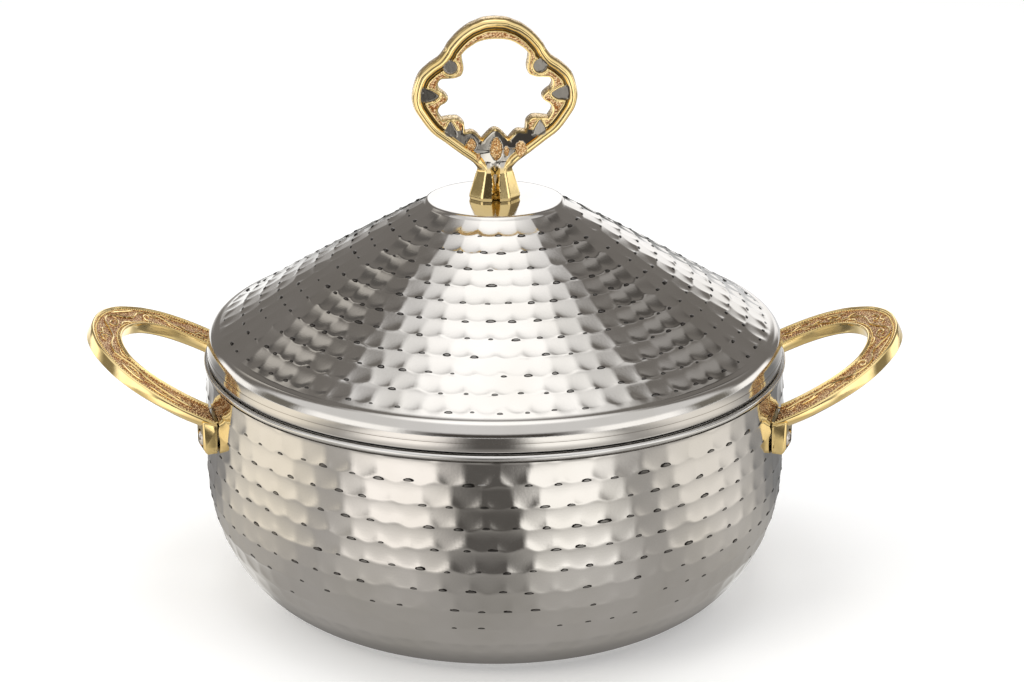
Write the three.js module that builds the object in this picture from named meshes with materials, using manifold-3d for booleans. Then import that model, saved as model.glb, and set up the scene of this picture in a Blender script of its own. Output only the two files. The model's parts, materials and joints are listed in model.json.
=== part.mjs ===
// Insulated chapati casserole: a hammered double-wall steel bowl, a lift-off insulated lid,
// a cast openwork ring knob and two cast loop handles, each screwed on at two lugs.
// Millimetres, +Z up, the base stands on z = 0 and the handles lie along X.

import * as THREE from 'three';
import { mergeVertices } from 'three/addons/utils/BufferGeometryUtils.js';
import Module from 'manifold-3d';

const wasm = await Module();
wasm.setup();

// Facets of the round pieces
const ROUND_FACETS = 44;
const FOAM_FACETS = 24;
const SMALL_FACETS = 10;
const HEX_SIDES = 6;

// Sheet metal and fits
const SHEET = 1;
const SEAT_GAP = 0.3;
const LID_FIT = 0.5;

// Bowl, outside: the lid's radius drives the bowl's, and the bowl's height places its handles
const LID_RADIUS = 120;
const RIM_PROUD = 0.5;
const RIM_RADIUS = LID_RADIUS + RIM_PROUD;
const BELLY_SWELL = 1.4;
const BELLY_RADIUS = RIM_RADIUS + BELLY_SWELL;
const BASE_SWEEP = 36.9;
const BASE_RADIUS = BELLY_RADIUS - BASE_SWEEP;
const BODY_HEIGHT = 102;
const BELLY_HEIGHT = 55;
const BELLY_POWER = 1.9;
const BELLY_STEPS = 6;
const UPPER_STEPS = 2;

// Pressed base panel and its foam filling hole
const BASE_RING_WIDTH = 16;
const PANEL_STEP_RUN = 3;
const PANEL_RADIUS = BASE_RADIUS - BASE_RING_WIDTH - PANEL_STEP_RUN;
const PANEL_RISE = 1.6;
const BASE_HOLE_RADIUS = 9;

// Rolled rim that hooks over the neck of the outer shell
const BEAD_PROUD = 0.9;
const BEAD_RADIUS = RIM_RADIUS + BEAD_PROUD;
const BEAD_HEIGHT = 2.2;
const NECK_STEP = 0.9;

// Bowl, inside
const WALL_WIDTH = 13.5;
const MOUTH_RADIUS = RIM_RADIUS - WALL_WIDTH;
const MOUTH_ROUND = 2;
const FLOOR_HEIGHT = 12;
const FLOOR_SWEEP_WIDTH = 29;
const FLOOR_RADIUS = MOUTH_RADIUS - FLOOR_SWEEP_WIDTH;
const FLOOR_SWEEP_HEIGHT = 28;
const FLOOR_STEPS = 4;
const ROUND_STEPS = 2;

// Lid shell, heights above the top of the bowl's rim
const LID_EDGE_RISE = 0.9;
const LID_DISC_RADIUS = 29;
const LID_DISC_RISE = 64.9;
const LID_DISC_ROUND = 1.2;
const LID_SHOULDER_RUN = 5;
const LID_SHOULDER_RISE = 12.3;
const LID_SKIRT_RISE = 5;
const LID_CROWN = 0.6;
const LID_SLOPE_STEPS = 2;
const LID_TURN = THREE.MathUtils.degToRad(5);

// Lid liner
const LINER_PLUG_DEPTH = 7;
const LINER_CORNER = 4;
const LINER_CROWN = 3;
const LINER_HALFWAY_SHARE = 0.75;
const LINER_HOLE_RADIUS = 7;

// Filling plugs, which grip the edge of a hole in the sheet
const PLUG_FLANGE = 2;
const PLUG_FLANGE_THICKNESS = 1;
const PLUG_BARB = 1.2;
const PLUG_BARB_HEIGHT = 1.6;

// Handles, measured in the tilted plane of the top face, which meets the wall below the rim
const HANDLE_TILT = THREE.MathUtils.degToRad(27.6);
const HANDLE_DROP = 12.2;
const HANDLE_PLANE_HEIGHT = BODY_HEIGHT - HANDLE_DROP;
const HANDLE_REACH = 53.9;
const HANDLE_SPREAD = 48.6;
const HANDLE_TIP_THICKNESS = 5.8;
const HANDLE_ROOT_THICKNESS = 4.4;
const HANDLE_BORDER = 1.5;
const HANDLE_BORDER_HEIGHT = 0.7;
const HANDLE_EDGE_ROUND = 0.35;
const HANDLE_TIP_BEVEL = 0.6;
const HANDLE_ROOT_BEVEL = 2.4;
const HANDLE_UNDER_EDGE = 0.9;
const HANDLE_STATIONS = 26;
// Half outlines from the root at the wall to the tip: shares of the reach and of the spread
const HANDLE_OUTER_SHARES = [
  [-0.263, 0.936], [-0.152, 0.971], [0.072, 1], [0.223, 0.984], [0.39, 0.938], [0.557, 0.854],
  [0.714, 0.724], [0.863, 0.531], [0.946, 0.35], [0.989, 0.175], [1, 0],
];
const HANDLE_INNER_SHARES = [
  [-0.263, 0.556], [-0.074, 0.638], [0.056, 0.654], [0.186, 0.644], [0.297, 0.621], [0.408, 0.582],
  [0.519, 0.516], [0.612, 0.424], [0.69, 0.284], [0.735, 0.136], [0.748, 0],
];

// Handle lugs and their fixings
const FIXING_DROP = 23.5;
const FIXING_HEIGHT = BODY_HEIGHT - FIXING_DROP;
const LUG_INSET = 6.05;
const LUG_WIDTH = 11;
const LUG_DEPTH = 5.8;
const LUG_FOOT_DROP = 5.6;
const LUG_CHAMFER_OUT = 1.5;
const LUG_CHAMFER_UP = 2.8;
const SCREW_RADIUS = 2;
const SCREW_CLEARANCE = 0.3;
const SCREW_HEAD_RADIUS = 3.4;
const SCREW_HEAD_HEIGHT = 3;
const SCREW_TAIL = 1.2;
const RECESS_RADIUS = 4;
const RECESS_DEPTH = 2.4;
const WASHER_RADIUS = 4.5;
const WASHER_THICKNESS = 1;
const NUT_RADIUS = 4;
const NUT_THICKNESS = 3.2;

// Ring knob, heights above the lid's disc
const KNOB_HALF_WIDTH = 33.2;
const KNOB_HEIGHT = 75.1;
const KNOB_THICKNESS = 9.5;
const KNOB_WEB_THICKNESS = 5.6;
const KNOB_BORDER_THICKNESS = 8.2;
const KNOB_RIM = 3.4;
const KNOB_BORDER = 1.4;
const KNOB_ROUND = 0.9;
const KNOB_OUTLINE_STEP = 4.8;
const KNOB_HOLE_STEP = 2.9;
// Half outlines from the top down to the stem: shares of the half width and of the height
const KNOB_OUTER_SHARES = [
  [0, 1], [0.133, 0.995], [0.327, 0.96], [0.455, 0.917], [0.565, 0.862], [0.608, 0.828],
  [0.681, 0.788], [0.81, 0.748], [0.934, 0.69], [1, 0.591], [0.982, 0.522], [0.919, 0.469],
  [0.78, 0.386], [0.611, 0.328], [0.428, 0.265], [0.283, 0.218], [0.22, 0.18], [0.2, 0.13],
];
// The hole's half outline in its smooth stretches, top arch down to the centre point
const KNOB_HOLE_SHARES = [
  [[0, 0.893], [0.108, 0.89], [0.211, 0.878], [0.289, 0.859], [0.361, 0.836], [0.416, 0.808]],
  [[0.416, 0.808], [0.397, 0.76], [0.395, 0.723], [0.416, 0.7], [0.453, 0.691], [0.581, 0.682],
    [0.666, 0.678], [0.705, 0.65], [0.685, 0.618], [0.636, 0.599], [0.583, 0.572], [0.619, 0.549],
    [0.669, 0.535], [0.705, 0.507], [0.693, 0.481], [0.651, 0.451]],
  [[0.651, 0.451], [0.566, 0.457], [0.467, 0.458], [0.419, 0.445], [0.389, 0.429], [0.376, 0.378]],
  [[0.376, 0.378], [0.289, 0.382], [0.235, 0.37], [0.163, 0.334]],
  [[0.163, 0.334], [0.06, 0.382], [0, 0.394]],
];
// Raised petals on both faces: centre and half sizes, as shares of the half width and height
const KNOB_PETAL_SHARES = [
  [-0.3, 0.311, 0.063, 0.036], [0, 0.286, 0.079, 0.065], [0.31, 0.287, 0.071, 0.045],
];
const PETAL_RISE = 0.9;
const PETAL_POINTS = 8;
const PETAL_ROWS = 4;

// Knob stem: half width and half depth of each section as shares of the foot's, and its height
// as a share of the stem's
const FOOT_HALF_WIDTH = 10.6;
const FOOT_HALF_DEPTH = 6.8;
const STEM_HEIGHT = 22;
const STEM_SECTION_SHARES = [
  [0.97, 0.97, 0], [1, 1, 0.1], [0.87, 0.88, 0.32], [0.72, 0.75, 0.56], [0.69, 0.72, 0.68],
  [0.75, 0.62, 0.86], [0.6, 0.5, 1],
];
const STEM_POWER = 2.6;
const STEM_POINTS = 16;

// Knob fixing under the lid's disc
const STUD_RADIUS = 3;
const STUD_REACH = 11;
const STUD_CLEARANCE = 0.3;
const STUD_HEAD_RADIUS = 5.2;
const STUD_HEAD_HEIGHT = 3.2;
const STUD_WASHER_RADIUS = 9;
const STUD_WASHER_THICKNESS = 1.2;

const steel = new THREE.MeshStandardMaterial({ color: 0xb9b6b0, roughness: 0.22, metalness: 1 });
const satin = new THREE.MeshStandardMaterial({ color: 0xc4c4c2, roughness: 0.35, metalness: 1 });
const gold = new THREE.MeshStandardMaterial({ color: 0xd9a441, roughness: 0.2, metalness: 1 });
const zinc = new THREE.MeshStandardMaterial({ color: 0xb0b3b8, roughness: 0.4, metalness: 1 });
const foam = new THREE.MeshStandardMaterial({ color: 0xe9ddb0, roughness: 0.95, metalness: 0 });
const rubber = new THREE.MeshStandardMaterial({ color: 0x3a3a3c, roughness: 0.8, metalness: 0 });

const point = (across, up) => new THREE.Vector2(across, up);

// A closed mesh as a solid, with its faces turned outwards
function toSolid(geometry) {
  const bare = geometry.clone();
  bare.deleteAttribute('normal');
  bare.deleteAttribute('uv');
  const merged = mergeVertices(bare);
  const places = merged.attributes.position.array;
  const corners = merged.index.array;
  const faces = [];
  let volume = 0;
  const [a, b, c] = [new THREE.Vector3(), new THREE.Vector3(), new THREE.Vector3()];
  for (let i = 0; i < corners.length; i += 3) {
    const [p, q, r] = corners.slice(i, i + 3);
    if (p !== q && q !== r && r !== p) {
      faces.push([p, q, r]);
      a.fromArray(places, 3 * p);
      b.fromArray(places, 3 * q);
      c.fromArray(places, 3 * r);
      volume += a.dot(b.cross(c));
    }
  }
  const outward = volume > 0 ? faces : faces.map(([p, q, r]) => [p, r, q]);
  return new wasm.Manifold(new wasm.Mesh({
    numProp: 3,
    vertProperties: Float32Array.from(places),
    triVerts: Uint32Array.from(outward.flat()),
  }));
}

function toMesh(name, solid, material) {
  const { vertProperties, triVerts } = solid.getMesh();
  const geometry = new THREE.BufferGeometry();
  geometry.setAttribute('position', new THREE.BufferAttribute(Float32Array.from(vertProperties), 3));
  geometry.setIndex(new THREE.BufferAttribute(Uint32Array.from(triVerts), 1));
  geometry.computeVertexNormals();
  const mesh = new THREE.Mesh(geometry, material);
  mesh.name = name;
  return mesh;
}

// An outline turned about the Z axis
function revolve(outline, facets) {
  return toSolid(new THREE.LatheGeometry(outline, facets).rotateX(Math.PI / 2));
}

// The same outline moved sideways, to the left of its direction when distance is above zero
function offsetOutline(outline, distance, closed = false) {
  const count = outline.length;
  const sideOf = (from, to) => point(from.y - to.y, to.x - from.x).normalize();
  return outline.map((place, i) => {
    const last = outline[closed ? (i + count - 1) % count : Math.max(i - 1, 0)];
    const next = outline[closed ? (i + 1) % count : Math.min(i + 1, count - 1)];
    const before = last === place ? sideOf(place, next) : sideOf(last, place);
    const after = next === place ? before : sideOf(place, next);
    const reach = distance / Math.max(1 + before.dot(after), 0.5);
    return place.clone().addScaledVector(before.clone().add(after), reach);
  });
}

// A wall of even thickness along an outline, turned about the Z axis
function revolveWall(outline, thickness, facets) {
  const loop = [...outline, ...offsetOutline(outline, thickness).reverse()];
  if (outline[0].x > 0) loop.push(outline[0].clone());
  return revolve(loop, facets);
}

// A quarter of an ellipse about a centre, from one angle to another in quarter turns
function quarter(centre, across, up, fromQuarter, toQuarter) {
  const places = [];
  for (let i = 0; i <= ROUND_STEPS; i += 1) {
    const turn = THREE.MathUtils.lerp(fromQuarter, toQuarter, i / ROUND_STEPS) * Math.PI / 2;
    places.push(point(centre.x + across * Math.cos(turn), centre.y + up * Math.sin(turn)));
  }
  return places;
}

// A solid through a row of rings with equal counts of points, capped at both ends
function loft(rings, closedRow = false) {
  const count = rings[0].length;
  const places = rings.flat().flatMap((p) => [p.x, p.y, p.z]);
  const faces = [];
  const rows = closedRow ? rings.length : rings.length - 1;
  for (let row = 0; row < rows; row += 1) {
    const here = row * count;
    const there = ((row + 1) % rings.length) * count;
    for (let i = 0; i < count; i += 1) {
      const j = (i + 1) % count;
      faces.push(here + i, here + j, there + j, here + i, there + j, there + i);
    }
  }
  if (!closedRow) {
    const cap = (start, flip) => {
      const ring = rings[start].map((p) => p.clone());
      const middle = ring.reduce((sum, p) => sum.add(p), new THREE.Vector3()).divideScalar(count);
      const hub = places.length / 3;
      places.push(middle.x, middle.y, middle.z);
      for (let i = 0; i < count; i += 1) {
        const j = (i + 1) % count;
        const edge = [start * count + i, start * count + j];
        if (flip) edge.reverse();
        faces.push(hub, ...edge);
      }
    };
    cap(0, true);
    cap(rings.length - 1, false);
  }
  const geometry = new THREE.BufferGeometry();
  geometry.setAttribute('position', new THREE.Float32BufferAttribute(places, 3));
  geometry.setIndex(faces);
  return toSolid(geometry);
}

// A plate with holes, its thickness centred on the drawing plane, stood up to face along Y.
// Its outlines all run clockwise, and the outer one is turned round to run against its holes.
function uprightPlate(outline, holes, thickness, round) {
  const shape = new THREE.Shape([...outline].reverse());
  shape.holes = holes.map((hole) => new THREE.Path(hole));
  const depth = thickness - 2 * round;
  const geometry = new THREE.ExtrudeGeometry(shape, {
    depth,
    bevelEnabled: round > 0,
    bevelThickness: round,
    bevelSize: round,
    bevelOffset: -round,
    bevelSegments: 1,
  });
  return toSolid(geometry.translate(0, 0, -depth / 2).rotateX(Math.PI / 2));
}

// Smooth curve through hand-chosen points, in steps of about one length
function smooth(places, step) {
  const curve = new THREE.SplineCurve(places);
  return curve.getSpacedPoints(Math.max(Math.round(curve.getLength() / step), 2));
}

// A half outline, from top to bottom, with its mirror image on the other side
function mirrored(half) {
  const other = half.map((p) => point(-p.x, p.y)).reverse();
  return [...half, ...other].filter((p, i, all) => {
    const next = all[(i + 1) % all.length];
    return p.distanceTo(next) > SEAT_GAP;
  });
}

function disc(radius, low, high, facets = SMALL_FACETS) {
  return revolve([point(0, low), point(radius, low), point(radius, high), point(0, high)], facets);
}

// A round thing built about Z, laid with its axis along a wall's radius
function placeAtFixing(mesh, azimuth, out) {
  mesh.rotation.set(0, Math.PI / 2, azimuth, 'ZYX');
  mesh.position.set(out * Math.cos(azimuth), out * Math.sin(azimuth), FIXING_HEIGHT);
  return mesh;
}

// Outside radius of the bowl's wall at a height
function wallRadius(height) {
  if (height < BELLY_HEIGHT) {
    const drop = (BELLY_HEIGHT - height) / BELLY_HEIGHT;
    return BASE_RADIUS + (BELLY_RADIUS - BASE_RADIUS) * (1 - drop ** BELLY_POWER) ** (1 / BELLY_POWER);
  }
  const rise = (height - BELLY_HEIGHT) / (BODY_HEIGHT - BELLY_HEIGHT);
  return BELLY_RADIUS - (BELLY_RADIUS - RIM_RADIUS) * rise ** 2;
}

const neckTop = BODY_HEIGHT - SHEET - SEAT_GAP;
const neckFoot = BODY_HEIGHT - BEAD_HEIGHT - SEAT_GAP;

// Outside of the bowl from the edge of the filling hole, out along the base and up the wall
function bodyOutline() {
  const places = [
    point(BASE_HOLE_RADIUS, PANEL_RISE),
    point(PANEL_RADIUS, PANEL_RISE),
    point(PANEL_RADIUS + PANEL_STEP_RUN, 0),
  ];
  for (let i = 0; i <= BELLY_STEPS; i += 1) {
    const turn = (i / BELLY_STEPS) * Math.PI / 2;
    const across = Math.sin(turn) ** (2 / BELLY_POWER);
    const drop = Math.cos(turn) ** (2 / BELLY_POWER);
    const radius = BASE_RADIUS + (BELLY_RADIUS - BASE_RADIUS) * across;
    places.push(point(radius, BELLY_HEIGHT * (1 - drop)));
  }
  for (let i = 1; i <= UPPER_STEPS; i += 1) {
    const height = THREE.MathUtils.lerp(BELLY_HEIGHT, neckFoot - NECK_STEP, i / UPPER_STEPS);
    places.push(point(wallRadius(height), height));
  }
  places.push(point(RIM_RADIUS - NECK_STEP, neckFoot), point(RIM_RADIUS - NECK_STEP, neckTop));
  return places;
}

// Inside of the bowl from the middle of its floor up to the mouth
function cavityOutline() {
  const places = [point(0, FLOOR_HEIGHT)];
  for (let i = 0; i <= FLOOR_STEPS; i += 1) {
    const turn = (i / FLOOR_STEPS) * Math.PI / 2;
    places.push(point(
      FLOOR_RADIUS + (MOUTH_RADIUS - FLOOR_RADIUS) * Math.sin(turn),
      FLOOR_HEIGHT + FLOOR_SWEEP_HEIGHT * (1 - Math.cos(turn)),
    ));
  }
  return places;
}

const mouthCentre = point(MOUTH_RADIUS + MOUTH_ROUND, BODY_HEIGHT - MOUTH_ROUND);

// The whole pressed bowl: cavity, rounded mouth, flat flange and the lip of the rolled bead
function bowlOutline() {
  return [
    ...cavityOutline(),
    ...quarter(mouthCentre, MOUTH_ROUND, MOUTH_ROUND, 2, 1),
    point(BEAD_RADIUS - SHEET / 2, BODY_HEIGHT),
    point(BEAD_RADIUS, BODY_HEIGHT - SHEET / 2),
    point(BEAD_RADIUS, BODY_HEIGHT - BEAD_HEIGHT),
  ];
}

// Foam between two outlines that both start on the axis
function foamBetween(lower, upper) {
  return revolve([...lower, ...upper.reverse()], FOAM_FACETS);
}

const wallFlat = Math.cos(Math.PI / ROUND_FACETS);
const fixingWall = wallRadius(FIXING_HEIGHT);
const lugAzimuth = Math.asin((HANDLE_SPREAD - LUG_INSET) / fixingWall);

// Fixing places round the bowl: the handle they belong to and their azimuth
const FIXINGS = [
  ['left_front', Math.PI + lugAzimuth], ['left_back', Math.PI - lugAzimuth],
  ['right_front', -lugAzimuth], ['right_back', lugAzimuth],
];

const washerFace = (fixingWall - SHEET) * wallFlat - 2 * SEAT_GAP;
const nutFace = washerFace - WASHER_THICKNESS - SEAT_GAP;
const screwTip = nutFace - NUT_THICKNESS - SCREW_TAIL;
const lugFace = fixingWall + LUG_DEPTH;
const headSeat = lugFace - RECESS_DEPTH + SEAT_GAP;

// A cylinder along a fixing's radius between two distances from the axis of the bowl
function fixingBore(radius, from, to, azimuth) {
  const bore = disc(radius, from, to).rotate([0, 90, 0]);
  return bore.rotate([0, 0, THREE.MathUtils.radToDeg(azimuth)]).translate([0, 0, FIXING_HEIGHT]);
}

function cutAtFixings(solid, radius, from, to) {
  return FIXINGS.reduce((rest, fixing) => rest.subtract(fixingBore(radius, from, to, fixing[1])), solid);
}

function makeOuterShell() {
  const shell = revolveWall(bodyOutline(), SHEET, ROUND_FACETS);
  return cutAtFixings(shell, SCREW_RADIUS + SCREW_CLEARANCE, nutFace, lugFace);
}

function makeInnerBowl() {
  return revolveWall(bowlOutline().reverse(), SHEET, ROUND_FACETS);
}

// Foam filling of the bowl's double wall, with a pocket for the base plug and for each nut.
// Its few facets are grown round the bowl and the base panel, and kept within the outer wall.
function makeBodyFoam() {
  const grow = 1 / Math.cos(Math.PI / FOAM_FACETS);
  const clear = SHEET + SEAT_GAP;
  const panel = PANEL_RISE + clear;
  const pocket = BASE_HOLE_RADIUS + PLUG_BARB + SEAT_GAP;
  const pocketTop = panel + PLUG_BARB_HEIGHT + SEAT_GAP;
  const skin = offsetOutline(bodyOutline(), clear).slice(1, -2);
  const base = skin.filter((p) => p.x < BASE_RADIUS).map((p) => point(p.x * grow, p.y));
  const wall = skin.filter((p) => p.x >= BASE_RADIUS).map((p) => point(p.x * wallFlat, p.y));
  const lower = [point(0, pocketTop), point(pocket, pocketTop), point(pocket, panel), ...base, ...wall];
  const upper = offsetOutline(cavityOutline(), -clear * grow).map((p) => point(p.x * grow, p.y));
  upper.push(point((MOUTH_RADIUS + clear) * grow, neckFoot - NECK_STEP));
  const body = foamBetween(lower, upper);
  return cutAtFixings(body, WASHER_RADIUS + SEAT_GAP, screwTip - SEAT_GAP, lugFace);
}

// A soft plug: flange below the sheet, neck in its hole and barb above it
function makePlug(holeRadius) {
  const neck = holeRadius - SEAT_GAP;
  const flange = holeRadius + PLUG_FLANGE;
  const barb = holeRadius + PLUG_BARB;
  const above = SHEET + SEAT_GAP;
  return revolve([
    point(0, -SEAT_GAP - PLUG_FLANGE_THICKNESS),
    point(flange - SEAT_GAP, -SEAT_GAP - PLUG_FLANGE_THICKNESS),
    point(flange, -SEAT_GAP - PLUG_FLANGE_THICKNESS / 2),
    point(flange, -SEAT_GAP),
    point(neck, -SEAT_GAP),
    point(neck, above),
    point(barb, above),
    point(neck, above + PLUG_BARB_HEIGHT),
    point(0, above + PLUG_BARB_HEIGHT),
  ], SMALL_FACETS * 2);
}

// Top face of a handle at a distance out along X
const handleTop = (out) => HANDLE_PLANE_HEIGHT + (out - LID_RADIUS) * Math.tan(HANDLE_TILT);

// One side of a handle's loop, in equal steps from its front root round the tip to its back root
function loopSide(shares) {
  const half = shares.map(([out, wide]) => point(out * HANDLE_REACH, wide * HANDLE_SPREAD));
  const front = half.map((p) => point(p.x, -p.y));
  const back = half.slice(0, -1).reverse();
  return new THREE.SplineCurve([...front, ...back]).getSpacedPoints(HANDLE_STATIONS);
}

// Cross-section of the loop: distance from its inner side, and height over the top face.
// Both edges of the top face carry a raised border round a sunk ground. From the tip (0) to a
// root (1) the loop gets thinner and the bevel under its outer side wider.
function loopSection(width, towardsRoot) {
  const round = HANDLE_EDGE_ROUND;
  const ground = HANDLE_BORDER_HEIGHT;
  const thickness = THREE.MathUtils.lerp(HANDLE_TIP_THICKNESS, HANDLE_ROOT_THICKNESS, towardsRoot);
  const bevel = THREE.MathUtils.lerp(HANDLE_TIP_BEVEL, HANDLE_ROOT_BEVEL, towardsRoot);
  return [
    point(0, HANDLE_UNDER_EDGE - thickness),
    point(0, -round),
    point(round, 0),
    point(HANDLE_BORDER - round, 0),
    point(HANDLE_BORDER, -ground),
    point(width - HANDLE_BORDER, -ground),
    point(width - HANDLE_BORDER + round, 0),
    point(width - round, 0),
    point(width, -round),
    point(width, bevel - thickness),
    point(width - bevel, -thickness),
    point(HANDLE_UNDER_EDGE, -thickness),
  ];
}

function makeLoop() {
  const outer = loopSide(HANDLE_OUTER_SHARES);
  const inner = loopSide(HANDLE_INNER_SHARES);
  const rings = outer.map((edge, i) => {
    const across = edge.clone().sub(inner[i]);
    const width = across.length();
    across.normalize();
    const towardsRoot = Math.abs((2 * i) / HANDLE_STATIONS - 1);
    return loopSection(width, towardsRoot).map((p) => {
      const place = inner[i].clone().addScaledVector(across, p.x);
      return new THREE.Vector3(place.x, place.y, p.y);
    });
  });
  const tilt = new THREE.Matrix4().makeRotationY(-HANDLE_TILT);
  tilt.setPosition(LID_RADIUS, 0, HANDLE_PLANE_HEIGHT);
  return loft(rings.map((ring) => ring.map((p) => p.applyMatrix4(tilt))));
}

// A lug that turns down from the loop's root and lies against the wall
function makeLug(azimuth) {
  const under = (radius) => handleTop(radius * Math.cos(azimuth)) - HANDLE_ROOT_THICKNESS / 2;
  const root = fixingWall - LUG_DEPTH;
  const foot = FIXING_HEIGHT - LUG_FOOT_DROP;
  const profile = new THREE.Shape([
    point(root, foot),
    point(lugFace - LUG_CHAMFER_OUT, foot),
    point(lugFace, foot + LUG_CHAMFER_UP),
    point(lugFace, under(lugFace)),
    point(root, under(root)),
  ]);
  const block = new THREE.ExtrudeGeometry(profile, { depth: LUG_WIDTH, bevelEnabled: false });
  return toSolid(block.translate(0, 0, -LUG_WIDTH / 2).rotateX(Math.PI / 2).rotateZ(azimuth));
}

// A handle on the +X side, seated round the wall and bored for its two screws
function makeHandle() {
  const wall = offsetOutline(bodyOutline().slice(2), -SEAT_GAP);
  const core = revolve([point(0, 0), ...wall, point(0, neckTop)], ROUND_FACETS);
  let handle = makeLoop();
  for (const azimuth of [-lugAzimuth, lugAzimuth]) handle = handle.add(makeLug(azimuth));
  handle = handle.subtract(core);
  for (const azimuth of [-lugAzimuth, lugAzimuth]) {
    handle = handle.subtract(fixingBore(SCREW_RADIUS + SCREW_CLEARANCE, screwTip, lugFace, azimuth));
    handle = handle.subtract(fixingBore(RECESS_RADIUS, lugFace - RECESS_DEPTH, lugFace + LUG_DEPTH, azimuth));
  }
  return handle;
}

// A screw about Z with its domed head above zero and its shank below
function makeScrew(radius, length, headRadius, headHeight) {
  const crown = headHeight / 2;
  return revolve([
    point(0, -length),
    point(radius, -length),
    point(radius, 0),
    point(headRadius, 0),
    point(headRadius, headHeight - crown),
    point(headRadius / 2, headHeight - crown / 4),
    point(0, headHeight),
  ], SMALL_FACETS);
}

function makeWasher(radius, bore, thickness) {
  return revolve([
    point(bore, 0), point(radius, 0), point(radius, thickness), point(bore, thickness), point(bore, 0),
  ], SMALL_FACETS);
}

function makeNut() {
  return disc(NUT_RADIUS, 0, NUT_THICKNESS, HEX_SIDES)
    .subtract(disc(SCREW_RADIUS + SCREW_CLEARANCE, -NUT_THICKNESS, 2 * NUT_THICKNESS));
}

const lidDisc = BODY_HEIGHT + LID_DISC_RISE;

// Outside of the lid from the middle of its disc down to the edge of its skirt
function lidOutline() {
  const slopeTop = point(LID_DISC_RADIUS, lidDisc - LID_DISC_ROUND);
  const slopeFoot = point(LID_RADIUS - LID_SHOULDER_RUN, BODY_HEIGHT + LID_SHOULDER_RISE);
  const places = [point(0, lidDisc), point(LID_DISC_RADIUS - 2 * LID_DISC_ROUND, lidDisc)];
  for (let i = 0; i <= LID_SLOPE_STEPS; i += 1) {
    const share = i / LID_SLOPE_STEPS;
    const place = slopeTop.clone().lerp(slopeFoot, share);
    place.y += LID_CROWN * 4 * share * (1 - share);
    places.push(place);
  }
  const corner = point(slopeFoot.x, BODY_HEIGHT + LID_SKIRT_RISE);
  const round = quarter(corner, LID_SHOULDER_RUN, LID_SHOULDER_RISE - LID_SKIRT_RISE, 1, 0);
  places.push(...round.slice(1), point(LID_RADIUS, BODY_HEIGHT + LID_EDGE_RISE));
  return places;
}

function makeLidShell() {
  const shell = revolveWall(lidOutline(), -SHEET, ROUND_FACETS);
  return shell.subtract(disc(STUD_RADIUS + STUD_CLEARANCE, BODY_HEIGHT, lidDisc + SHEET));
}

const linerFloor = BODY_HEIGHT - LINER_PLUG_DEPTH;
const linerPlug = MOUTH_RADIUS - LID_FIT;

// Underside of the lid's liner from its filling hole out to the rim of its flange
function linerOutline() {
  const corner = point(linerPlug - LINER_CORNER, linerFloor + LINER_CORNER);
  return [
    point(LINER_HOLE_RADIUS, linerFloor + LINER_CROWN),
    point(linerPlug / 2, linerFloor + LINER_CROWN * LINER_HALFWAY_SHARE),
    ...quarter(corner, LINER_CORNER, LINER_CORNER, -1, 0),
    ...quarter(mouthCentre, MOUTH_ROUND + LID_FIT, MOUTH_ROUND + SEAT_GAP, 2, 1),
    point(LID_RADIUS - SHEET - SEAT_GAP, BODY_HEIGHT + SEAT_GAP),
  ];
}

function makeLiner() {
  return revolveWall(linerOutline(), SHEET, ROUND_FACETS);
}

// Foam filling of the lid, with pockets for the knob's fixing and for the liner's plug
function makeLidFoam() {
  const shrink = SHEET + SEAT_GAP;
  const top = lidDisc - shrink;
  const pocket = STUD_WASHER_RADIUS + SEAT_GAP;
  const pocketFoot = top - STUD_WASHER_THICKNESS - STUD_HEAD_HEIGHT - 2 * SEAT_GAP;
  const skin = offsetOutline(lidOutline(), -shrink).slice(1, -1);
  const upper = [point(0, pocketFoot), point(pocket, pocketFoot), point(pocket, top)];
  upper.push(...skin.map((p) => point(p.x * wallFlat, p.y)));
  const plugPocket = LINER_HOLE_RADIUS + PLUG_BARB + SEAT_GAP;
  const floor = offsetOutline(linerOutline(), shrink).slice(0, -1);
  const plugTop = floor[0].y + PLUG_BARB_HEIGHT + SEAT_GAP;
  floor[0].x = plugPocket;
  const edge = point(skin.at(-1).x * wallFlat, floor.at(-1).y);
  const lower = [point(0, plugTop), point(plugPocket, plugTop), ...floor, edge];
  return foamBetween(lower, upper);
}

// The knob's flat outline and its hole, both with the stem's axis at zero
const knobPoint = ([across, up]) => point(across * KNOB_HALF_WIDTH, up * KNOB_HEIGHT);

function knobOutline() {
  return mirrored(smooth(KNOB_OUTER_SHARES.map(knobPoint), KNOB_OUTLINE_STEP));
}

function knobHole() {
  return mirrored(KNOB_HOLE_SHARES.flatMap((stretch) => smooth(stretch.map(knobPoint), KNOB_HOLE_STEP)));
}

// Stem of the knob: rounded sections that swell from the waist to an oval foot
function makeStem() {
  const rings = STEM_SECTION_SHARES.map(([wide, deep, up]) => {
    const ring = [];
    for (let i = 0; i < STEM_POINTS; i += 1) {
      const turn = (i / STEM_POINTS) * 2 * Math.PI;
      const bulge = (value) => Math.sign(value) * Math.abs(value) ** (2 / STEM_POWER);
      ring.push(new THREE.Vector3(
        FOOT_HALF_WIDTH * wide * bulge(Math.cos(turn)),
        FOOT_HALF_DEPTH * deep * bulge(Math.sin(turn)),
        STEM_HEIGHT * up,
      ));
    }
    return ring;
  });
  return loft(rings);
}

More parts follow.
